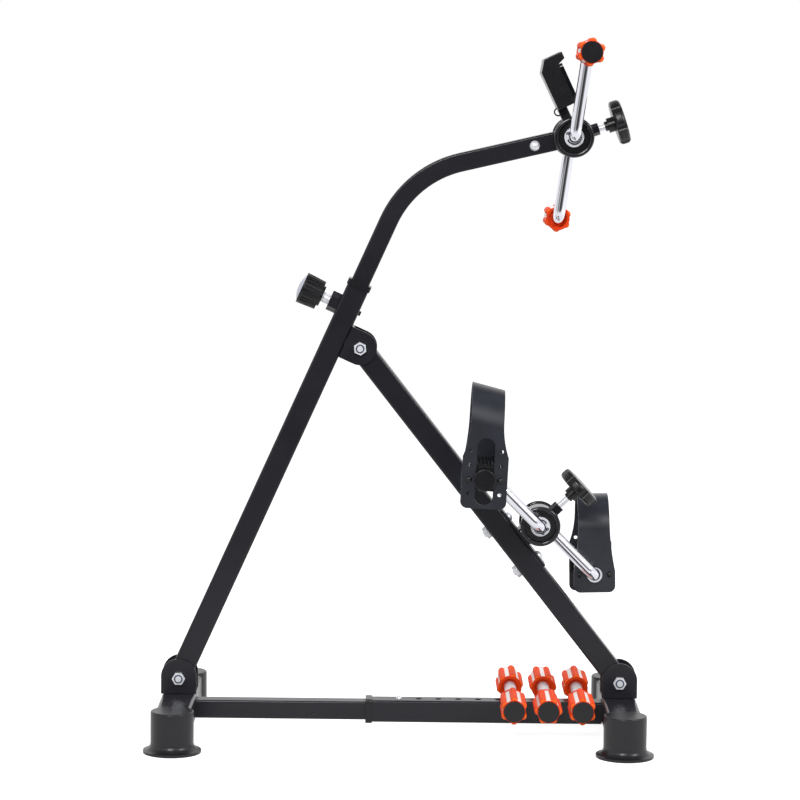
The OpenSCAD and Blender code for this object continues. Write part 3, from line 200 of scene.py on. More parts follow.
add(tree, "ShaderNodeOutputMaterial", {"Surface": mixed.outputs[0]})
floor.data.materials.append(seamless)

for name, lamp in LAMPS.items():
    bpy.ops.object.light_add(type="AREA", location=lamp["at"])
    light = bpy.context.object
    light.name = "lamp_" + name
    light.rotation_euler = (LAMPS_AIM - light.location).to_track_quat("-Z", "Y").to_euler()
    light.data.size = lamp["size"]
    light.data.energy = lamp["power"]
    light.visible_camera = False
    light.visible_glossy = lamp["mirrored"]


# Tubes and plates of the frame
# Crossbars, base tubes, legs, mast and brackets are welded mild steel tube and 3 mm plate. They are
# powder-coated in one batch: a satin black skin with a faint orange-peel and rounded edges.
COAT_BLACK = "#19191f"
COAT_GREY = "#212127"
COAT_PEEL_MM = 1.3
COAT_CLOUD_MM = 45
COAT_ROUGHNESS = (0.22, 0.3)
COAT_RELIEF = {"Strength": 0.04, "Distance": 0.05 * MM}
PLATE_EDGE = 0.6 * MM
SEAM_GAP = 0.002 * MM
FLAT_WITHIN = radians(1)
ROUND_FROM = radians(40)
SMOOTH_TO = radians(35)
EDGE_STEPS = 3


def linear(code):
    """Linear colour of an sRGB hex value."""
    channels = [int(code[i:i + 2], 16) / 255 for i in (1, 3, 5)]
    return [c / 12.92 if c <= 0.04045 else ((c + 0.055) / 1.055) ** 2.4 for c in channels] + [1]


def per_mm(size):
    """Texture scale at which a noise cell is that many millimetres wide."""
    return 1 / (size * MM)


def new_finish(name, **constants):
    """Material with one surface shader: its node tree, the shader and the piece's own coordinates."""
    material = bpy.data.materials.new(name)
    material.use_nodes = True
    tree = material.node_tree
    tree.nodes.clear()
    shader = add(tree, "ShaderNodeBsdfPrincipled", {k.replace("_", " "): v for k, v in constants.items()})
    add(tree, "ShaderNodeOutputMaterial", {"Surface": shader.outputs[0]})
    return material, tree, shader, add(tree, "ShaderNodeTexCoord").outputs["Object"]


def dress(material, *nodes):
    """Gives CAD nodes a material."""
    for name in nodes:
        for slot in frame["nodes"][name].material_slots:
            slot.material = material


def ride_for(piece, node):
    """The piece stands for a CAD node and moves with its body."""
    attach(piece, frame["nodes"][node]["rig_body"])
    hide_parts(node)


def finish_modifier(piece, kind, **settings):
    """Adds a modifier to the active piece and applies it."""
    modifier = piece.modifiers.new(kind.lower(), kind)
    for name, value in settings.items():
        setattr(modifier, name, value)
    bpy.ops.object.modifier_apply(modifier=modifier.name)


def soften(material, edge, *nodes):
    """Stands for each CAD node a copy, its triangles merged and sharp edges rounded; gives the last one."""
    for node in nodes:
        piece = bpy.data.objects.new(node + "_rounded", frame["nodes"][node].data.copy())
        scene.collection.objects.link(piece)
        bpy.ops.object.select_all(action="DESELECT")
        piece.select_set(True)
        bpy.context.view_layer.objects.active = piece
        bpy.ops.object.mode_set(mode="EDIT")
        bpy.ops.mesh.select_all(action="SELECT")
        bpy.ops.mesh.customdata_custom_splitnormals_clear()
        bpy.ops.mesh.remove_doubles(threshold=SEAM_GAP)
        bpy.ops.mesh.dissolve_limited(angle_limit=FLAT_WITHIN)
        bpy.ops.object.mode_set(mode="OBJECT")
        finish_modifier(
            piece, "BEVEL", width=edge, segments=EDGE_STEPS, limit_method="ANGLE", angle_limit=ROUND_FROM,
            use_clamp_overlap=True,
        )
        bpy.ops.object.shade_smooth_by_angle(angle=SMOOTH_TO)
        finish_modifier(piece, "WEIGHTED_NORMAL", keep_sharp=True)
        piece.data.materials.clear()
        piece.data.materials.append(material)
        ride_for(piece, node)
    return piece


# Powder coat: polyester baked on steel, whose peel breaks the highlights softly
powder_coat, tree, shader, place = new_finish("satin_black_powder_coat", IOR=1.4)
cloud = add(tree, "ShaderNodeTexNoise", {"Vector": place, "Scale": per_mm(COAT_CLOUD_MM), "Detail": 3})
tone = add(tree, "ShaderNodeMix", {
    "Factor": cloud.outputs[0], "A": linear(COAT_BLACK), "B": linear(COAT_GREY),
}, data_type="RGBA")
sheen = add(tree, "ShaderNodeMapRange", {
    "Value": cloud.outputs[0], "To Min": COAT_ROUGHNESS[0], "To Max": COAT_ROUGHNESS[1],
})
peel = add(tree, "ShaderNodeTexNoise", {"Vector": place, "Scale": per_mm(COAT_PEEL_MM), "Detail": 2})
bump = add(tree, "ShaderNodeBump", {"Height": peel.outputs[0], **COAT_RELIEF})
tree.links.new(tone.outputs[2], shader.inputs["Base Color"])
tree.links.new(sheen.outputs[0], shader.inputs["Roughness"])
tree.links.new(bump.outputs[0], shader.inputs["Normal"])

dress(powder_coat, "rear_crossbar", "front_crossbar", "base_outer_tube", "base_inner_tube")
dress(powder_coat, "front_leg", "rear_leg", "mast")
soften(powder_coat, PLATE_EDGE, "rear_hinge_bracket", "front_hinge_bracket", "apex_bracket", "foot_saddle")


# Brake drums
# A drum is turned from thick steel pipe for each crank, with a bead rolled on the face of both rims. It is
# bolted to the rear leg's saddle, or plugged into the mast, and sprayed in gloss black.
DRUM_BLACK = "#17171b"
DRUM_GREY = "#1f1f24"
DRUM_CLOUD_MM = 20
DRUM_ROUGHNESS = (0.05, 0.11)
DRUM_FACE = 30 * MM
BEAD_R = 23.9 * MM
BEAD_T = 2.6 * MM
BEAD_FLAT = 0.6
BEAD_SIDES = (96, 20)
ALONG_Y = Matrix.Rotation(radians(-90), 4, "X")
NYLON_BLACK = "#0d0d0f"
NYLON_WORN = "#141417"
NYLON_CLOUD_MM = 4
NYLON_ROUGHNESS = (0.18, 0.26)
BUSH_EDGE = 0.5 * MM

# Gloss enamel: sprayed over turned steel, smooth enough to show the lamps as thin hard arcs
gloss_black, tree, shader, place = new_finish("gloss_black_enamel", IOR=1.5)
cloud = add(tree, "ShaderNodeTexNoise", {"Vector": place, "Scale": per_mm(DRUM_CLOUD_MM), "Detail": 3})
tone = add(tree, "ShaderNodeMix", {
    "Factor": cloud.outputs[0], "A": linear(DRUM_BLACK), "B": linear(DRUM_GREY),
}, data_type="RGBA")
gloss = add(tree, "ShaderNodeMapRange", {
    "Value": cloud.outputs[0], "To Min": DRUM_ROUGHNESS[0], "To Max": DRUM_ROUGHNESS[1],
})
tree.links.new(tone.outputs[2], shader.inputs["Base Color"])
tree.links.new(gloss.outputs[0], shader.inputs["Roughness"])

dress(gloss_black, "hand_drum", "foot_drum")


def joint_point(name):
    """The point on its axis where a joint is stated, at rest."""
    return Vector(next(joint["pos_m"] for joint in frame["joints"] if joint["name"] == name))


def edit(piece):
    """Opens one piece in edit mode with nothing selected."""
    bpy.ops.object.select_all(action="DESELECT")
    piece.select_set(True)
    bpy.context.view_layer.objects.active = piece
    bpy.ops.object.mode_set(mode="EDIT")
    bpy.ops.mesh.select_mode(type="FACE")
    bpy.ops.mesh.select_all(action="DESELECT")


def close_edit(piece, angle=SMOOTH_TO):
    """Leaves edit mode with normals outwards and smooth shading up to an angle."""
    bpy.ops.mesh.select_all(action="SELECT")
    bpy.ops.mesh.remove_doubles(threshold=SEAM_GAP / 2)
    bpy.ops.mesh.normals_make_consistent(inside=False)
    bpy.ops.object.mode_set(mode="OBJECT")
    bpy.ops.object.shade_smooth_by_angle(angle=angle)


def stamped(pattern, name, turn, *materials):
    """A copy of a pattern piece with its own mesh, its place in the mesh and any materials added."""
    piece = bpy.data.objects.new(name, pattern.data.copy())
    scene.collection.objects.link(piece)
    piece.data.transform(turn)
    if turn.determinant() < 0:
        piece.data.flip_normals()
    for material in materials:
        piece.data.materials.append(material)
    return piece


def flat_ring(radius, thick, flat, sides):
    """A round ring about Z, pressed flatter along Z, with so many sides round it and across it."""
    bpy.ops.object.select_all(action="DESELECT")
    bpy.ops.mesh.primitive_torus_add(
        major_radius=radius, minor_radius=thick, major_segments=sides[0], minor_segments=sides[1],
        location=(0, 0, 0),
    )
    ring = bpy.context.object
    edit(ring)
    bpy.ops.mesh.select_all(action="SELECT")
    bpy.ops.transform.resize(value=(1, 1, flat))
    close_edit(ring)
    return ring


# Beads: a flat round ring on each face of a drum, about the crank's axis
bead = flat_ring(BEAD_R, BEAD_T, BEAD_FLAT, BEAD_SIDES)
for drum, joint in (("hand_drum", "hand_crank_turn"), ("foot_drum", "foot_crank_turn")):
    for side in (-1, 1):
        face = joint_point(joint) + Vector((0, side * DRUM_FACE, 0))
        drum_bead = stamped(bead, f"{drum}_bead_{side}", Matrix.Translation(face) @ ALONG_Y, gloss_black)
        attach(drum_bead, frame["nodes"][drum]["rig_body"])
bpy.data.objects.remove(bead)

# Bearing bushes: turned nylon, dyed through and polished by the collars that run on them
black_nylon, tree, shader, place = new_finish("polished_black_nylon", IOR=1.53)
cloud = add(tree, "ShaderNodeTexNoise", {"Vector": place, "Scale": per_mm(NYLON_CLOUD_MM), "Detail": 2})
tone = add(tree, "ShaderNodeMix", {
    "Factor": cloud.outputs[0], "A": linear(NYLON_BLACK), "B": linear(NYLON_WORN),
}, data_type="RGBA")
gloss = add(tree, "ShaderNodeMapRange", {
    "Value": cloud.outputs[0], "To Min": NYLON_ROUGHNESS[0], "To Max": NYLON_ROUGHNESS[1],
})
tree.links.new(tone.outputs[2], shader.inputs["Base Color"])
tree.links.new(gloss.outputs[0], shader.inputs["Roughness"])
soften(black_nylon, BUSH_EDGE, "foot_drum_bushes", "hand_drum_bushes")


# Feet
# Each crossbar end sits in a cup foot moulded in charcoal rubber, flared at the floor. The skin is half matt
# with a faint bloom and a little dust.
FOOT_GREY = "#18181b"
FOOT_BLOOM = "#202024"
FOOT_CLOUD_MM = 18
FOOT_GRAIN_MM = 0.9
FOOT_ROUGHNESS = (0.26, 0.34)
FOOT_RELIEF = {"Strength": 0.12, "Distance": 0.06 * MM}

# Foot rubber: pressed in a plain mould, whose fine grain (drawn coarser, to show) spreads the highlights
rubber, tree, shader, place = new_finish("moulded_foot_rubber", IOR=1.45)
cloud = add(tree, "ShaderNodeTexNoise", {"Vector": place, "Scale": per_mm(FOOT_CLOUD_MM), "Detail": 4})
tone = add(tree, "ShaderNodeMix", {
    "Factor": cloud.outputs[0], "A": linear(FOOT_GREY), "B": linear(FOOT_BLOOM),
}, data_type="RGBA")
matt = add(tree, "ShaderNodeMapRange", {
    "Value": cloud.outputs[0], "To Min": FOOT_ROUGHNESS[0], "To Max": FOOT_ROUGHNESS[1],
})
grain = add(tree, "ShaderNodeTexNoise", {"Vector": place, "Scale": per_mm(FOOT_GRAIN_MM), "Detail": 3})
bump = add(tree, "ShaderNodeBump", {"Height": grain.outputs[0], **FOOT_RELIEF})
tree.links.new(tone.outputs[2], shader.inputs["Base Color"])
tree.links.new(matt.outputs[0], shader.inputs["Roughness"])
tree.links.new(bump.outputs[0], shader.inputs["Normal"])

dress(rubber, "rear_feet", "front_feet")


# Moulded black plastic
# Tube bushes, knobs, end caps, pedals, strap screws and the counter's case are injection-moulded ABS and
# nylon from spark-eroded moulds: near black, with a fine even grain. The hidden pads are the same.
PLASTIC_BLACK = "#121215"
PLASTIC_WORN = "#19191c"
PLASTIC_GRAIN_MM = 0.7
PLASTIC_CLOUD_MM = 12
PLASTIC_ROUGHNESS = (0.22, 0.3)
PLASTIC_RELIEF = {"Strength": 0.02, "Distance": 0.05 * MM}
MOULD_EDGE = 0.5 * MM
END_CAP_EDGE = 0.35 * MM
KNOB_FLUTE_EDGE = 0.3 * MM
KNOB_LOBE_EDGE = 0.8 * MM
CASE_EDGE = 1.4 * MM

# Grained ABS: the spark-eroded grain, drawn coarser than the real tenth of a millimetre, dulls it a little
black_plastic, tree, shader, place = new_finish("grained_black_abs", IOR=1.42)
cloud = add(tree, "ShaderNodeTexNoise", {"Vector": place, "Scale": per_mm(PLASTIC_CLOUD_MM), "Detail": 3})
tone = add(tree, "ShaderNodeMix", {
    "Factor": cloud.outputs[0], "A": linear(PLASTIC_BLACK), "B": linear(PLASTIC_WORN),
}, data_type="RGBA")
gloss = add(tree, "ShaderNodeMapRange", {
    "Value": cloud.outputs[0], "To Min": PLASTIC_ROUGHNESS[0], "To Max": PLASTIC_ROUGHNESS[1],
})
grain = add(tree, "ShaderNodeTexVoronoi", {"Vector": place, "Scale": per_mm(PLASTIC_GRAIN_MM)})
bump = add(tree, "ShaderNodeBump", {"Height": grain.outputs[0], **PLASTIC_RELIEF})
tree.links.new(tone.outputs[2], shader.inputs["Base Color"])
tree.links.new(gloss.outputs[0], shader.inputs["Roughness"])
tree.links.new(bump.outputs[0], shader.inputs["Normal"])

dress(black_plastic, "clamp_pad", "foot_brake_pad", "hand_brake_pad", "sensor_lead")
soften(black_plastic, KNOB_LOBE_EDGE, "foot_tension_knob", "hand_tension_knob")
soften(black_plastic, MOULD_EDGE, "base_tube_bush", "mast_bush")
soften(black_plastic, MOULD_EDGE, "near_pedal", "far_pedal")
soften(black_plastic, END_CAP_EDGE, "roller_end_caps", "grip_end_caps")
soften(black_plastic, MOULD_EDGE, "near_strap_screws", "far_strap_screws")
soften(black_plastic, KNOB_FLUTE_EDGE, "clamp_knob")
soften(black_plastic, CASE_EDGE, "counter_case")


# Bolts, nuts and screws
# Hinge bolts, drum bolts and the clamp's and resistance screws are bright zinc-plated steel. The hinges have
# lock nuts, whose nylon collar shows round the bolt's end, and a leaf spring lifts the snap button.
ZINC_LIGHT = "#f4f6f9"
ZINC_DULL = "#dadde4"
ZINC_CLOUD_MM = 3
ZINC_ROUGHNESS = (0.3, 0.45)
BOLT_EDGE = 0.75 * MM
SPRING_EDGE = 0.1 * MM
BOLT_END = 2 * MM
COLLAR_R = 5 * MM
COLLAR_T = 0.9 * MM
COLLAR_FLAT = 0.6
COLLAR_SIDES = (48, 12)
COLLAR_BLUE = "#2c2f5e"
COLLAR_DARK = "#1d1f3a"
COLLAR_CLOUD_MM = 1.5

# Zinc plate: a thin bright metal under a milky clear passivation, so that its highlights are soft
zinc, tree, shader, place = new_finish("bright_zinc_plate", Metallic=0.5)
cloud = add(tree, "ShaderNodeTexNoise", {"Vector": place, "Scale": per_mm(ZINC_CLOUD_MM), "Detail": 4})
tone = add(tree, "ShaderNodeMix", {
    "Factor": cloud.outputs[0], "A": linear(ZINC_LIGHT), "B": linear(ZINC_DULL),
}, data_type="RGBA")
dull = add(tree, "ShaderNodeMapRange", {
    "Value": cloud.outputs[0], "To Min": ZINC_ROUGHNESS[0], "To Max": ZINC_ROUGHNESS[1],
})
tree.links.new(tone.outputs[2], shader.inputs["Base Color"])
tree.links.new(dull.outputs[0], shader.inputs["Roughness"])

# Nylon collar: dyed polyamide, smooth from the tool that seats it
nylon, tree, shader, place = new_finish("dyed_blue_nylon", IOR=1.53, Roughness=0.35)
cloud = add(tree, "ShaderNodeTexNoise", {"Vector": place, "Scale": per_mm(COLLAR_CLOUD_MM), "Detail": 2})
tone = add(tree, "ShaderNodeMix", {
    "Factor": cloud.outputs[0], "A": linear(COLLAR_BLUE), "B": linear(COLLAR_DARK),
}, data_type="RGBA")
tree.links.new(tone.outputs[2], shader.inputs["Base Color"])


def corners(node):
    """Lowest and highest corner of a CAD node, and its middle."""
    low, high = (Vector(corner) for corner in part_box(node))
    return low, high, (low + high) / 2


soften(zinc, BOLT_EDGE, "rear_hinge_bolt", "front_hinge_bolt", "apex_bolt", "saddle_bolts", "hand_drum_bolt")
dress(zinc, "snap_button", "clamp_screw", "foot_tension_screw", "hand_tension_screw")

# The snap button's leaf spring, rounded, with a mesh of its own
low, high, middle = corners("snap_spring")
leaf_spring = soften(zinc, SPRING_EDGE, "snap_spring")
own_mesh(leaf_spring)

collar = flat_ring(COLLAR_R, COLLAR_T, COLLAR_FLAT, COLLAR_SIDES)
for bolt in ("rear_hinge_bolt", "front_hinge_bolt", "apex_bolt"):
    low, high, middle = corners(bolt)
    seat = Matrix.Translation((middle.x, low.y + BOLT_END, middle.z)) @ ALONG_Y
    nylon_collar = stamped(collar, bolt + "_collar", seat, nylon)
    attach(nylon_collar, frame["nodes"][bolt]["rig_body"])
bpy.data.objects.remove(collar)


# Cranks and roller rods
# The two cranks are 16 mm bar bent cold in a Z, polished and chrome-plated, so that they show the studio
# almost as a mirror. The roller rods are the same bar cut straight and plated in bright zinc.
CHROME = "#e6e6ee"
CHROME_HAZE_MM = 30
CHROME_ROUGHNESS = (0.03, 0.1)
HUB_FACE = 28.8 * MM
WASHER_R = 13 * MM
WASHER_BORE_R = 8.1 * MM
WASHER_T = 0.6 * MM
WASHER_EDGE = 0.15 * MM
CLIP_R = 9.2 * MM
CLIP_T = 0.8 * MM
CLIP_OPEN = 50
CLIP_EYE_R = 1.4 * MM
CLIP_EYE_T = 0.7 * MM
CLIP_DARK = "#2a2c33"
CLIP_LIGHT = "#3c3f48"
CLIP_CLOUD_MM = 2
CLIP_SIDES = 10
CLIP_STEPS = 40
CLIP_EYE_SIDES = (20, 8)
CLIP_TURNS = {"hand_crank": 150, "foot_crank": -20}
BORED_SIDES = 64
END_ON = 0.9
ON_AXIS = 0.01 * MM
RIM_FROM = radians(50)


def pick(piece, test):
    """Selects in edit mode the faces whose middle and normal pass the test, and no others."""
    bpy.ops.object.mode_set(mode="OBJECT")
    for face in piece.data.polygons:
        face.select = test(face.center, face.normal)
    bpy.ops.object.mode_set(mode="EDIT")


def join(first, *others):
    """Makes one piece of several."""
    bpy.ops.object.select_all(action="DESELECT")
    for piece in others:
        piece.select_set(True)
    first.select_set(True)
    bpy.context.view_layer.objects.active = first
    bpy.ops.object.join()
    return first


def bored_drum(name, radius, start, length, bore, edge, hollow=None, hollow_deep=0):
    """Drum along Z with a bore through it, or a wider hollow first, and all its rims rounded."""
    bpy.ops.object.select_all(action="DESELECT")
    bpy.ops.mesh.primitive_cylinder_add(
        vertices=BORED_SIDES, radius=radius, depth=length, location=(0, 0, 0)
    )
    drum = bpy.context.object
    drum.name = name
    edit(drum)
    pick(drum, lambda middle, normal: normal.z < -END_ON)
    if hollow:
        bpy.ops.mesh.inset(thickness=radius - hollow)
        bpy.ops.mesh.extrude_region_move(TRANSFORM_OT_translate={"value": (0, 0, hollow_deep)})
        bpy.ops.mesh.inset(thickness=hollow - bore)
    else:
        bpy.ops.mesh.inset(thickness=radius - bore)
    pick(drum, lambda middle, normal: normal.z > END_ON)
    bpy.ops.mesh.inset(thickness=radius - bore)
    pick(drum, lambda middle, normal: abs(normal.z) > END_ON and middle.xy.length < ON_AXIS)
    bpy.ops.mesh.bridge_edge_loops()
    bpy.ops.mesh.select_all(action="SELECT")
    bpy.ops.transform.translate(value=(0, 0, start + length / 2))
    close_edit(drum)
    finish_modifier(
        drum, "BEVEL", width=edge, segments=EDGE_STEPS, limit_method="ANGLE", angle_limit=RIM_FROM,
    )
    bpy.ops.object.shade_smooth_by_angle(angle=SMOOTH_TO)
    return drum


# Chrome plate: polished, with a faint haze that keeps the mirrored edges from being knife-sharp
chrome, tree, shader, place = new_finish("polished_chrome_plate", Metallic=1.0, Base_Color=linear(CHROME))
haze = add(tree, "ShaderNodeTexNoise", {"Vector": place, "Scale": per_mm(CHROME_HAZE_MM), "Detail": 5})
polish = add(tree, "ShaderNodeMapRange", {
    "Value": haze.outputs[0], "To Min": CHROME_ROUGHNESS[0], "To Max": CHROME_ROUGHNESS[1],
})
tree.links.new(polish.outputs[0], shader.inputs["Roughness"])

dress(chrome, "foot_crank", "hand_crank")
dress(zinc, "roller_rods")

# Circlip: blackened spring steel, whose eyes stand at its open ends
spring_steel, tree, shader, place = new_finish("blackened_spring_steel", Metallic=1.0, Roughness=0.4)
cloud = add(tree, "ShaderNodeTexNoise", {"Vector": place, "Scale": per_mm(CLIP_CLOUD_MM), "Detail": 2})
tone = add(tree, "ShaderNodeMix", {
    "Factor": cloud.outputs[0], "A": linear(CLIP_DARK), "B": linear(CLIP_LIGHT),
}, data_type="RGBA")
tree.links.new(tone.outputs[2], shader.inputs["Base Color"])

washer = bored_drum("hub_washer", WASHER_R, 0, WASHER_T, WASHER_BORE_R, WASHER_EDGE)
bpy.ops.object.select_all(action="DESELECT")
bpy.ops.mesh.primitive_circle_add(
    vertices=CLIP_SIDES, radius=CLIP_T, location=(CLIP_R, 0, 0), rotation=(radians(90), 0, 0)
)
clip = bpy.context.object
bpy.ops.object.transform_apply(location=True, rotation=True, scale=True)
edit(clip)
bpy.ops.mesh.select_all(action="SELECT")
bpy.ops.mesh.spin(steps=CLIP_STEPS, angle=radians(360 - CLIP_OPEN), center=(0, 0, 0), axis=(0, 0, 1))
bpy.ops.mesh.select_all(action="SELECT")
bpy.ops.mesh.fill_holes(sides=0)
close_edit(clip)
eyes = []
for end in (0, 360 - CLIP_OPEN):
    bpy.ops.object.select_all(action="DESELECT")
    bpy.ops.mesh.primitive_torus_add(
        major_radius=CLIP_EYE_R, minor_radius=CLIP_EYE_T,
        major_segments=CLIP_EYE_SIDES[0], minor_segments=CLIP_EYE_SIDES[1],
        location=Matrix.Rotation(radians(end), 3, "Z") @ Vector((CLIP_R + CLIP_EYE_R / 2, 0, 0)),
    )
    bpy.ops.object.transform_apply(location=True, rotation=True, scale=True)
    eyes.append(bpy.context.object)
clip = join(clip, *eyes)
for crank, joint in (("hand_crank", "hand_crank_turn"), ("foot_crank", "foot_crank_turn")):
    hub = joint_point(joint)
    for side in (-1, 1):
        face = hub + Vector((0, side * HUB_FACE, 0))
        seat = Matrix.Translation(face) @ Matrix.Rotation(radians(-90 * side), 4, "X")
        hub_washer = stamped(washer, f"{crank}_washer_{side}", seat, zinc)
        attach(hub_washer, frame["nodes"][crank]["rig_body"])
        clip_turn = Matrix.Rotation(radians(CLIP_TURNS[crank]), 4, "Z")
        seat = seat @ Matrix.Translation((0, 0, WASHER_T)) @ clip_turn
        circlip = stamped(clip, f"{crank}_circlip_{side}", seat, spring_steel)
        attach(circlip, frame["nodes"][crank]["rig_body"])
for pattern in (washer, clip):
    bpy.data.objects.remove(pattern)


# Massage rollers and grips
# Each is a white ABS core with six knurled ribs of orange thermoplastic rubber moulded over it, joined by a
# rim at both ends. The inner end is hollow, and a rod or a crank runs through.
CORE_WHITE = "#f4f3f0"
CORE_SHADE = "#eae9e6"
# The studs' orange is painted lighter than the rubber as a painted highlight, and the grooves' and rims'
# orange darker as painted shade
RIB_ORANGE = "#ff7630"
RIB_DEEP = "#ff5a18"
RIB_GROOVE = "#f0460c"
RIB_SHADE = "#d83606"
CORE_CLOUD_MM = 9
RIB_MOTTLE_MM = 1.8
RIB_MOTTLE_RANGE = (0.35, 0.65)
RIB_GRAIN_MM = 0.5
RIB_RELIEF = {"Strength": 0.2, "Distance": 0.1 * MM}
ROLLER_LEN = 72 * MM
CORE_R = 14.8 * MM
CORE_BORE_R = 8.06 * MM
CORE_HOLLOW_R = 12.8 * MM
CORE_HOLLOW_DEEP = 9 * MM
CORE_BACK = 0.4 * MM
CORE_EDGE = 0.3 * MM
RIB_COUNT = 6
RIB_R = 4.6 * MM
RIB_AT = 13.6 * MM
RIB_FLOOR = 13 * MM
RIB_SIDES = 16
RIB_ROWS = 24
RIB_START = 1 * MM
RIB_TIP = 0.72
RIB_TIP_LEN = 1.2 * MM
RIB_BUMP = 0.5 * MM
RIB_BUMP_INSET = 0.25 * MM
RIB_SMOOTH_TO = radians(40)
KNURL_ROUND = -0.1
KNURL_UPRIGHT = 0.3
INNER_RIM = {"radius": 16 * MM, "length": 3 * MM, "bore": 12.2 * MM}
RIM_CUP = {"radius": 12.7 * MM, "start": 0.5 * MM, "length": 8 * MM, "bore": 8.3 * MM, "deep": 5 * MM}
OUTER_RIM = {"radius": 15 * MM, "length": 1.4 * MM, "bore": 13.6 * MM}
RIM_EDGE = 0.5 * MM
CUP_EDGE = 0.2 * MM
ROLLER_TURNS = {
    "roller_1_near": 30, "roller_2_near": 0, "roller_3_near": 30,
    "roller_1_far": 15, "roller_2_far": 0, "roller_3_far": 30,
    "near_grip": 23.2, "far_grip": 23.2,
}

# White core: ABS, smooth from a polished mould
core_white, tree, shader, place = new_finish(
    "polished_white_abs", IOR=1.5, Roughness=0.3, Subsurface_Weight=0.4, Subsurface_Scale=4 * MM,
    Subsurface_Radius=(1, 1, 1),
)
cloud = add(tree, "ShaderNodeTexNoise", {"Vector": place, "Scale": per_mm(CORE_CLOUD_MM), "Detail": 2})
tone = add(tree, "ShaderNodeMix", {
    "Factor": cloud.outputs[0], "A": linear(CORE_WHITE), "B": linear(CORE_SHADE),
}, data_type="RGBA")
tree.links.new(tone.outputs[2], shader.inputs["Base Color"])

# Orange ribs: soft rubber, half matt and lightly mottled, and painted lighter on the studs of its knurl as a
# painted highlight
rib_orange, tree, shader, place = new_finish("orange_tpr_rubber", IOR=1.3, Roughness=0.34)
cloud = add(tree, "ShaderNodeTexNoise", {"Vector": place, "Scale": per_mm(RIB_MOTTLE_MM), "Detail": 3})
mottle = add(tree, "ShaderNodeMapRange", {
    "Value": cloud.outputs[0], "From Min": RIB_MOTTLE_RANGE[0], "From Max": RIB_MOTTLE_RANGE[1],
})
tone = add(tree, "ShaderNodeMix", {
    "Factor": mottle.outputs[0], "A": linear(RIB_ORANGE), "B": linear(RIB_DEEP),
}, data_type="RGBA")
grain = add(tree, "ShaderNodeTexNoise", {"Vector": place, "Scale": per_mm(RIB_GRAIN_MM), "Detail": 2})
bump = add(tree, "ShaderNodeBump", {"Height": grain.outputs[0], **RIB_RELIEF})
tree.links.new(tone.outputs[2], shader.inputs["Base Color"])
tree.links.new(bump.outputs[0], shader.inputs["Normal"])

# Grooves of the knurl, and the rims: the same rubber, more matt and painted deeper in colour as painted
# shade in the grooves and in the rims' hollow cup
rib_painted_shade, tree, shader, place = new_finish("orange_tpr_painted_shade", IOR=1.25, Roughness=0.6)
cloud = add(tree, "ShaderNodeTexNoise", {"Vector": place, "Scale": per_mm(RIB_MOTTLE_MM), "Detail": 2})
tone = add(tree, "ShaderNodeMix", {
    "Factor": cloud.outputs[0], "A": linear(RIB_GROOVE), "B": linear(RIB_SHADE),
}, data_type="RGBA")
tree.links.new(tone.outputs[2], shader.inputs["Base Color"])

core = bored_drum(
    "roller_core", CORE_R, CORE_BACK, ROLLER_LEN - 2 * CORE_BACK, CORE_BORE_R, CORE_EDGE,
    CORE_HOLLOW_R, CORE_HOLLOW_DEEP,
)

# One rib: a bar of rings with rounded ends and a flat underside, and every other face of its back raised
# into a blunt stud
rows_start = RIB_START + RIB_TIP_LEN
row = (ROLLER_LEN - 2 * rows_start) / RIB_ROWS
bpy.ops.object.select_all(action="DESELECT")
bpy.ops.mesh.primitive_circle_add(
    vertices=RIB_SIDES, radius=RIB_R * RIB_TIP, fill_type="NGON", location=(0, 0, 0)
)
rib = bpy.context.object
rib.name = "roller_rib"
edit(rib)
bpy.ops.mesh.select_all(action="SELECT")
bpy.ops.transform.translate(value=(RIB_AT, 0, RIB_START))
bpy.ops.mesh.extrude_region_move(TRANSFORM_OT_translate={"value": (0, 0, RIB_TIP_LEN)})
bpy.ops.transform.resize(value=(1 / RIB_TIP, 1 / RIB_TIP, 1), center_override=(RIB_AT, 0, rows_start))
for i in range(RIB_ROWS):
    bpy.ops.mesh.extrude_region_move(TRANSFORM_OT_translate={"value": (0, 0, row)})
bpy.ops.mesh.extrude_region_move(TRANSFORM_OT_translate={"value": (0, 0, RIB_TIP_LEN)})
bpy.ops.transform.resize(value=(RIB_TIP, RIB_TIP, 1), center_override=(RIB_AT, 0, ROLLER_LEN - RIB_START))
bpy.ops.mesh.select_all(action="SELECT")
bpy.ops.mesh.bisect(plane_co=(RIB_FLOOR, 0, 0), plane_no=(1, 0, 0), use_fill=True, clear_inner=True)
bpy.ops.mesh.select_all(action="SELECT")
bpy.ops.mesh.normals_make_consistent(inside=False)


def is_stud(middle, normal):
    """Every other face of the rib's back, row by row, clear of its ends."""
    if abs(normal.z) > KNURL_UPRIGHT or normal.x < KNURL_ROUND:
        return False
    ring = int((middle.z - rows_start) / row)
    side = int((Vector((normal.x, normal.y)).angle_signed(Vector((1, 0))) + pi) / (2 * pi / RIB_SIDES))
    return 0 < ring < RIB_ROWS - 1 and (ring + side) % 2 == 0


# Painted light: the back's faces in the rows take the darker orange as painted shade in the grooves, and the
# raised studs the lighter orange as a painted highlight
rib.data.materials.append(rib_orange)
rib.data.materials.append(rib_painted_shade)
pick(rib, lambda middle, normal: normal.x > KNURL_ROUND and rows_start < middle.z < ROLLER_LEN - rows_start)
rib.active_material_index = 1
bpy.ops.object.material_slot_assign()
pick(rib, is_stud)
bpy.ops.mesh.inset(thickness=RIB_BUMP_INSET, use_individual=True)
bpy.ops.transform.shrink_fatten(value=RIB_BUMP)
rib.active_material_index = 0
bpy.ops.object.material_slot_assign()
close_edit(rib, RIB_SMOOTH_TO)

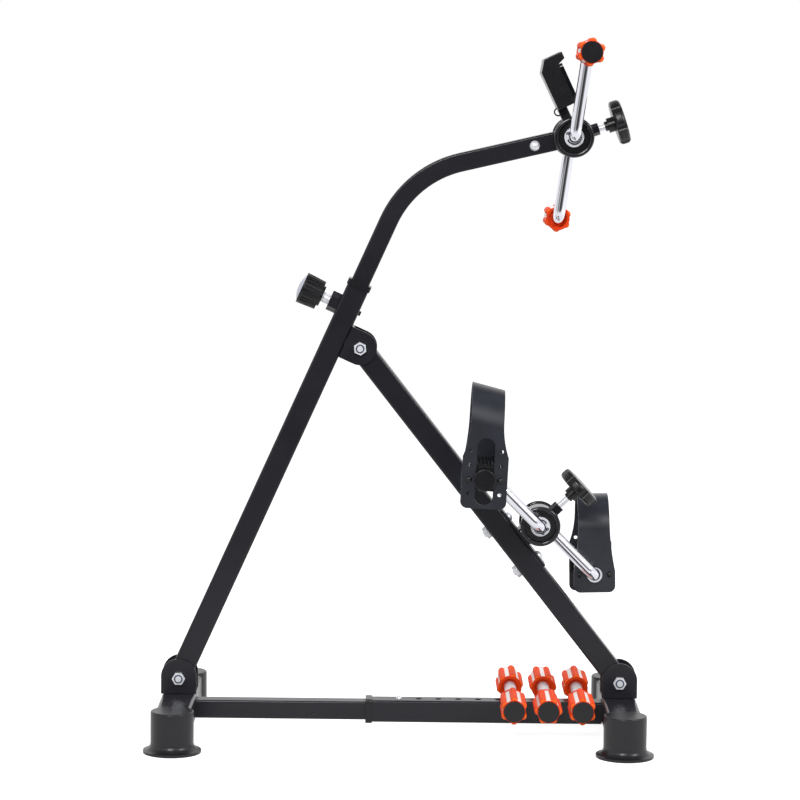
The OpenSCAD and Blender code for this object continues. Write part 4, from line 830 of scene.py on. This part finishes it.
ribs = []
for i in range(RIB_COUNT):
    ribs.append(stamped(rib, f"rib_{i}", Matrix.Rotation(2 * pi / RIB_COUNT * i, 4, "Z")))
rims = []
for name, rim, start in (
    ("inner_rim", INNER_RIM, 0),
    ("outer_rim", OUTER_RIM, ROLLER_LEN - OUTER_RIM["length"]),
):
    rims.append(bored_drum(name, rim["radius"], start, rim["length"], rim["bore"], RIM_EDGE))
rims.append(bored_drum(
    "rim_cup", RIM_CUP["radius"], RIM_CUP["start"], RIM_CUP["length"], RIM_CUP["bore"], CUP_EDGE,
    INNER_RIM["bore"], RIM_CUP["deep"],
))
# The rims and the inner cup take the darker orange, painted shade in the cup's hollow
for rim in rims:
    rim.data.materials.append(rib_painted_shade)
rib_cage = join(*ribs, *rims)

for node, turn in ROLLER_TURNS.items():
    low, high, middle = corners(node)
    near = middle.y < 0
    seat = Matrix.Translation((middle.x, high.y if near else low.y, middle.z))
    if near:
        seat = seat @ Matrix.Scale(-1, 4, (0, 1, 0))
    seat = seat @ ALONG_Y @ Matrix.Rotation(radians(-turn), 4, "Z")
    white_core = stamped(core, node + "_core", seat, core_white)
    ride_for(white_core, node)
    orange_ribs = stamped(rib_cage, node + "_ribs", seat)
    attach(orange_ribs, frame["nodes"][node]["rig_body"])
for pattern in (core, rib, rib_cage):
    bpy.data.objects.remove(pattern)


# Clamp knob's cap
# A shallow dome pressed in thin sheet and snapped into the end of the ribbed clamp knob. It is pale
# blue-grey, with a satin lacquered face that takes a broad soft highlight.
CAP_GREY = "#b4b8c6"
CAP_LIGHT = "#c6cad6"
CAP_CLOUD_MM = 6

cap_grey, tree, shader, place = new_finish("satin_grey_pressing", IOR=1.5, Roughness=0.32, Metallic=0.4)
cloud = add(tree, "ShaderNodeTexNoise", {"Vector": place, "Scale": per_mm(CAP_CLOUD_MM), "Detail": 3})
tone = add(tree, "ShaderNodeMix", {
    "Factor": cloud.outputs[0], "A": linear(CAP_GREY), "B": linear(CAP_LIGHT),
}, data_type="RGBA")
tree.links.new(tone.outputs[2], shader.inputs["Base Color"])
dress(cap_grey, "clamp_knob_cap")


# Pedal straps
# A closed loop moulded in soft PVC, screwed to both ends of the pedal. The skin is smooth, with a low
# sheen and the slight ripple of a thick moulding.
STRAP_BLACK = "#1c1e25"
STRAP_GREY = "#272a33"
STRAP_RIPPLE_MM = 22
STRAP_GRAIN_MM = 0.6
STRAP_ROUGHNESS = (0.28, 0.35)
STRAP_RELIEF = {"Strength": 0.12, "Distance": 0.06 * MM}
STRAP_EDGE = 0.8 * MM

# Soft PVC: a smooth moulded skin, whose grain is drawn coarser than the real one so that it shows
strap_pvc, tree, shader, place = new_finish("soft_black_pvc", IOR=1.53)
ripple = add(tree, "ShaderNodeTexNoise", {"Vector": place, "Scale": per_mm(STRAP_RIPPLE_MM), "Detail": 2})
tone = add(tree, "ShaderNodeMix", {
    "Factor": ripple.outputs[0], "A": linear(STRAP_BLACK), "B": linear(STRAP_GREY),
}, data_type="RGBA")
sheen = add(tree, "ShaderNodeMapRange", {
    "Value": ripple.outputs[0], "To Min": STRAP_ROUGHNESS[0], "To Max": STRAP_ROUGHNESS[1],
})
grain = add(tree, "ShaderNodeTexNoise", {"Vector": place, "Scale": per_mm(STRAP_GRAIN_MM), "Detail": 2})
bump = add(tree, "ShaderNodeBump", {"Height": grain.outputs[0], **STRAP_RELIEF})
tree.links.new(tone.outputs[2], shader.inputs["Base Color"])
tree.links.new(sheen.outputs[0], shader.inputs["Roughness"])
tree.links.new(bump.outputs[0], shader.inputs["Normal"])

soften(strap_pvc, STRAP_EDGE, "near_strap", "far_strap")


# Counter's lens, display and button
# The counter's window is a glossy tinted acrylic panel clipped into the case, with a liquid crystal display
# bonded in its recess. The one button is moulded in orange rubber.
LENS_BLACK = "#0d0f12"
LENS_GREY = "#14171b"
LENS_CLOUD_MM = 25
BUTTON_ORANGE = "#ee5a1e"
BUTTON_GRAIN_MM = 0.6
DISPLAY_GREY = "#7d8679"
DISPLAY_LIGHT = "#8b9486"
DISPLAY_ROW_MM = 3.14
DISPLAY_WAVER = 0.4
DISPLAY_EDGE = 0.2 * MM
DISPLAY_EDGE_STEPS = 2
WAVE_PITCH = 2 * pi / 20  # A wave texture repeats at this length when its scale is 1
DISPLAY_SIZE = (45 * MM, 21.5 * MM, 0.6 * MM)
DISPLAY_AT = (25.07 * MM, 0, 77.1 * MM)
COUNTER_LEAN = radians(25.6)

# Tinted acrylic: near black and polished, so that it shows the room as a clear dim mirror
lens, tree, shader, place = new_finish("tinted_acrylic", IOR=1.49, Roughness=0.06)
cloud = add(tree, "ShaderNodeTexNoise", {"Vector": place, "Scale": per_mm(LENS_CLOUD_MM), "Detail": 1})
tone = add(tree, "ShaderNodeMix", {
    "Factor": cloud.outputs[0], "A": linear(LENS_BLACK), "B": linear(LENS_GREY),
}, data_type="RGBA")
tree.links.new(tone.outputs[2], shader.inputs["Base Color"])
dress(lens, "counter_lens")

# Button rubber: moulded silicone, matt and slightly uneven in colour
button_rubber, tree, shader, place = new_finish("orange_button_rubber", IOR=1.5, Roughness=0.5)
grain = add(tree, "ShaderNodeTexNoise", {"Vector": place, "Scale": per_mm(BUTTON_GRAIN_MM), "Detail": 2})
tone = add(tree, "ShaderNodeMix", {
    "Factor": grain.outputs[0], "A": linear(BUTTON_ORANGE), "B": linear(RIB_GROOVE),
}, data_type="RGBA")
tree.links.new(tone.outputs[2], shader.inputs["Base Color"])
dress(button_rubber, "counter_button")

# Display: polarising film over dark cells that are switched off, with faint rows
film, tree, shader, place = new_finish("polarising_film", IOR=1.49, Roughness=0.22)
rows = add(tree, "ShaderNodeTexWave", {
    "Vector": place, "Scale": per_mm(DISPLAY_ROW_MM) * WAVE_PITCH, "Distortion": DISPLAY_WAVER,
})
tone = add(tree, "ShaderNodeMix", {
    "Factor": rows.outputs["Fac"], "A": linear(DISPLAY_GREY), "B": linear(DISPLAY_LIGHT),
}, data_type="RGBA")
tree.links.new(tone.outputs[2], shader.inputs["Base Color"])

bpy.ops.object.select_all(action="DESELECT")
bpy.ops.mesh.primitive_plane_add(size=1, location=(0, 0, 0), rotation=(0, radians(90), 0))
display = bpy.context.object
display.name = "counter_display"
bpy.ops.object.transform_apply(location=True, rotation=True, scale=True)
edit(display)
bpy.ops.mesh.select_all(action="SELECT")
bpy.ops.transform.resize(value=(1, DISPLAY_SIZE[0], DISPLAY_SIZE[1]))
bpy.ops.mesh.extrude_region_move(TRANSFORM_OT_translate={"value": (DISPLAY_SIZE[2], 0, 0)})
close_edit(display)
finish_modifier(
    display, "BEVEL", width=DISPLAY_EDGE, segments=DISPLAY_EDGE_STEPS, limit_method="ANGLE",
    angle_limit=RIM_FROM,
)
hub = joint_point("hand_crank_turn")
lean = Matrix.Rotation(-COUNTER_LEAN, 4, "Y")
display.data.transform(Matrix.Translation(hub) @ lean @ Matrix.Translation(DISPLAY_AT))
display.data.materials.append(film)
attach(display, frame["nodes"]["counter_lens"]["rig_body"])
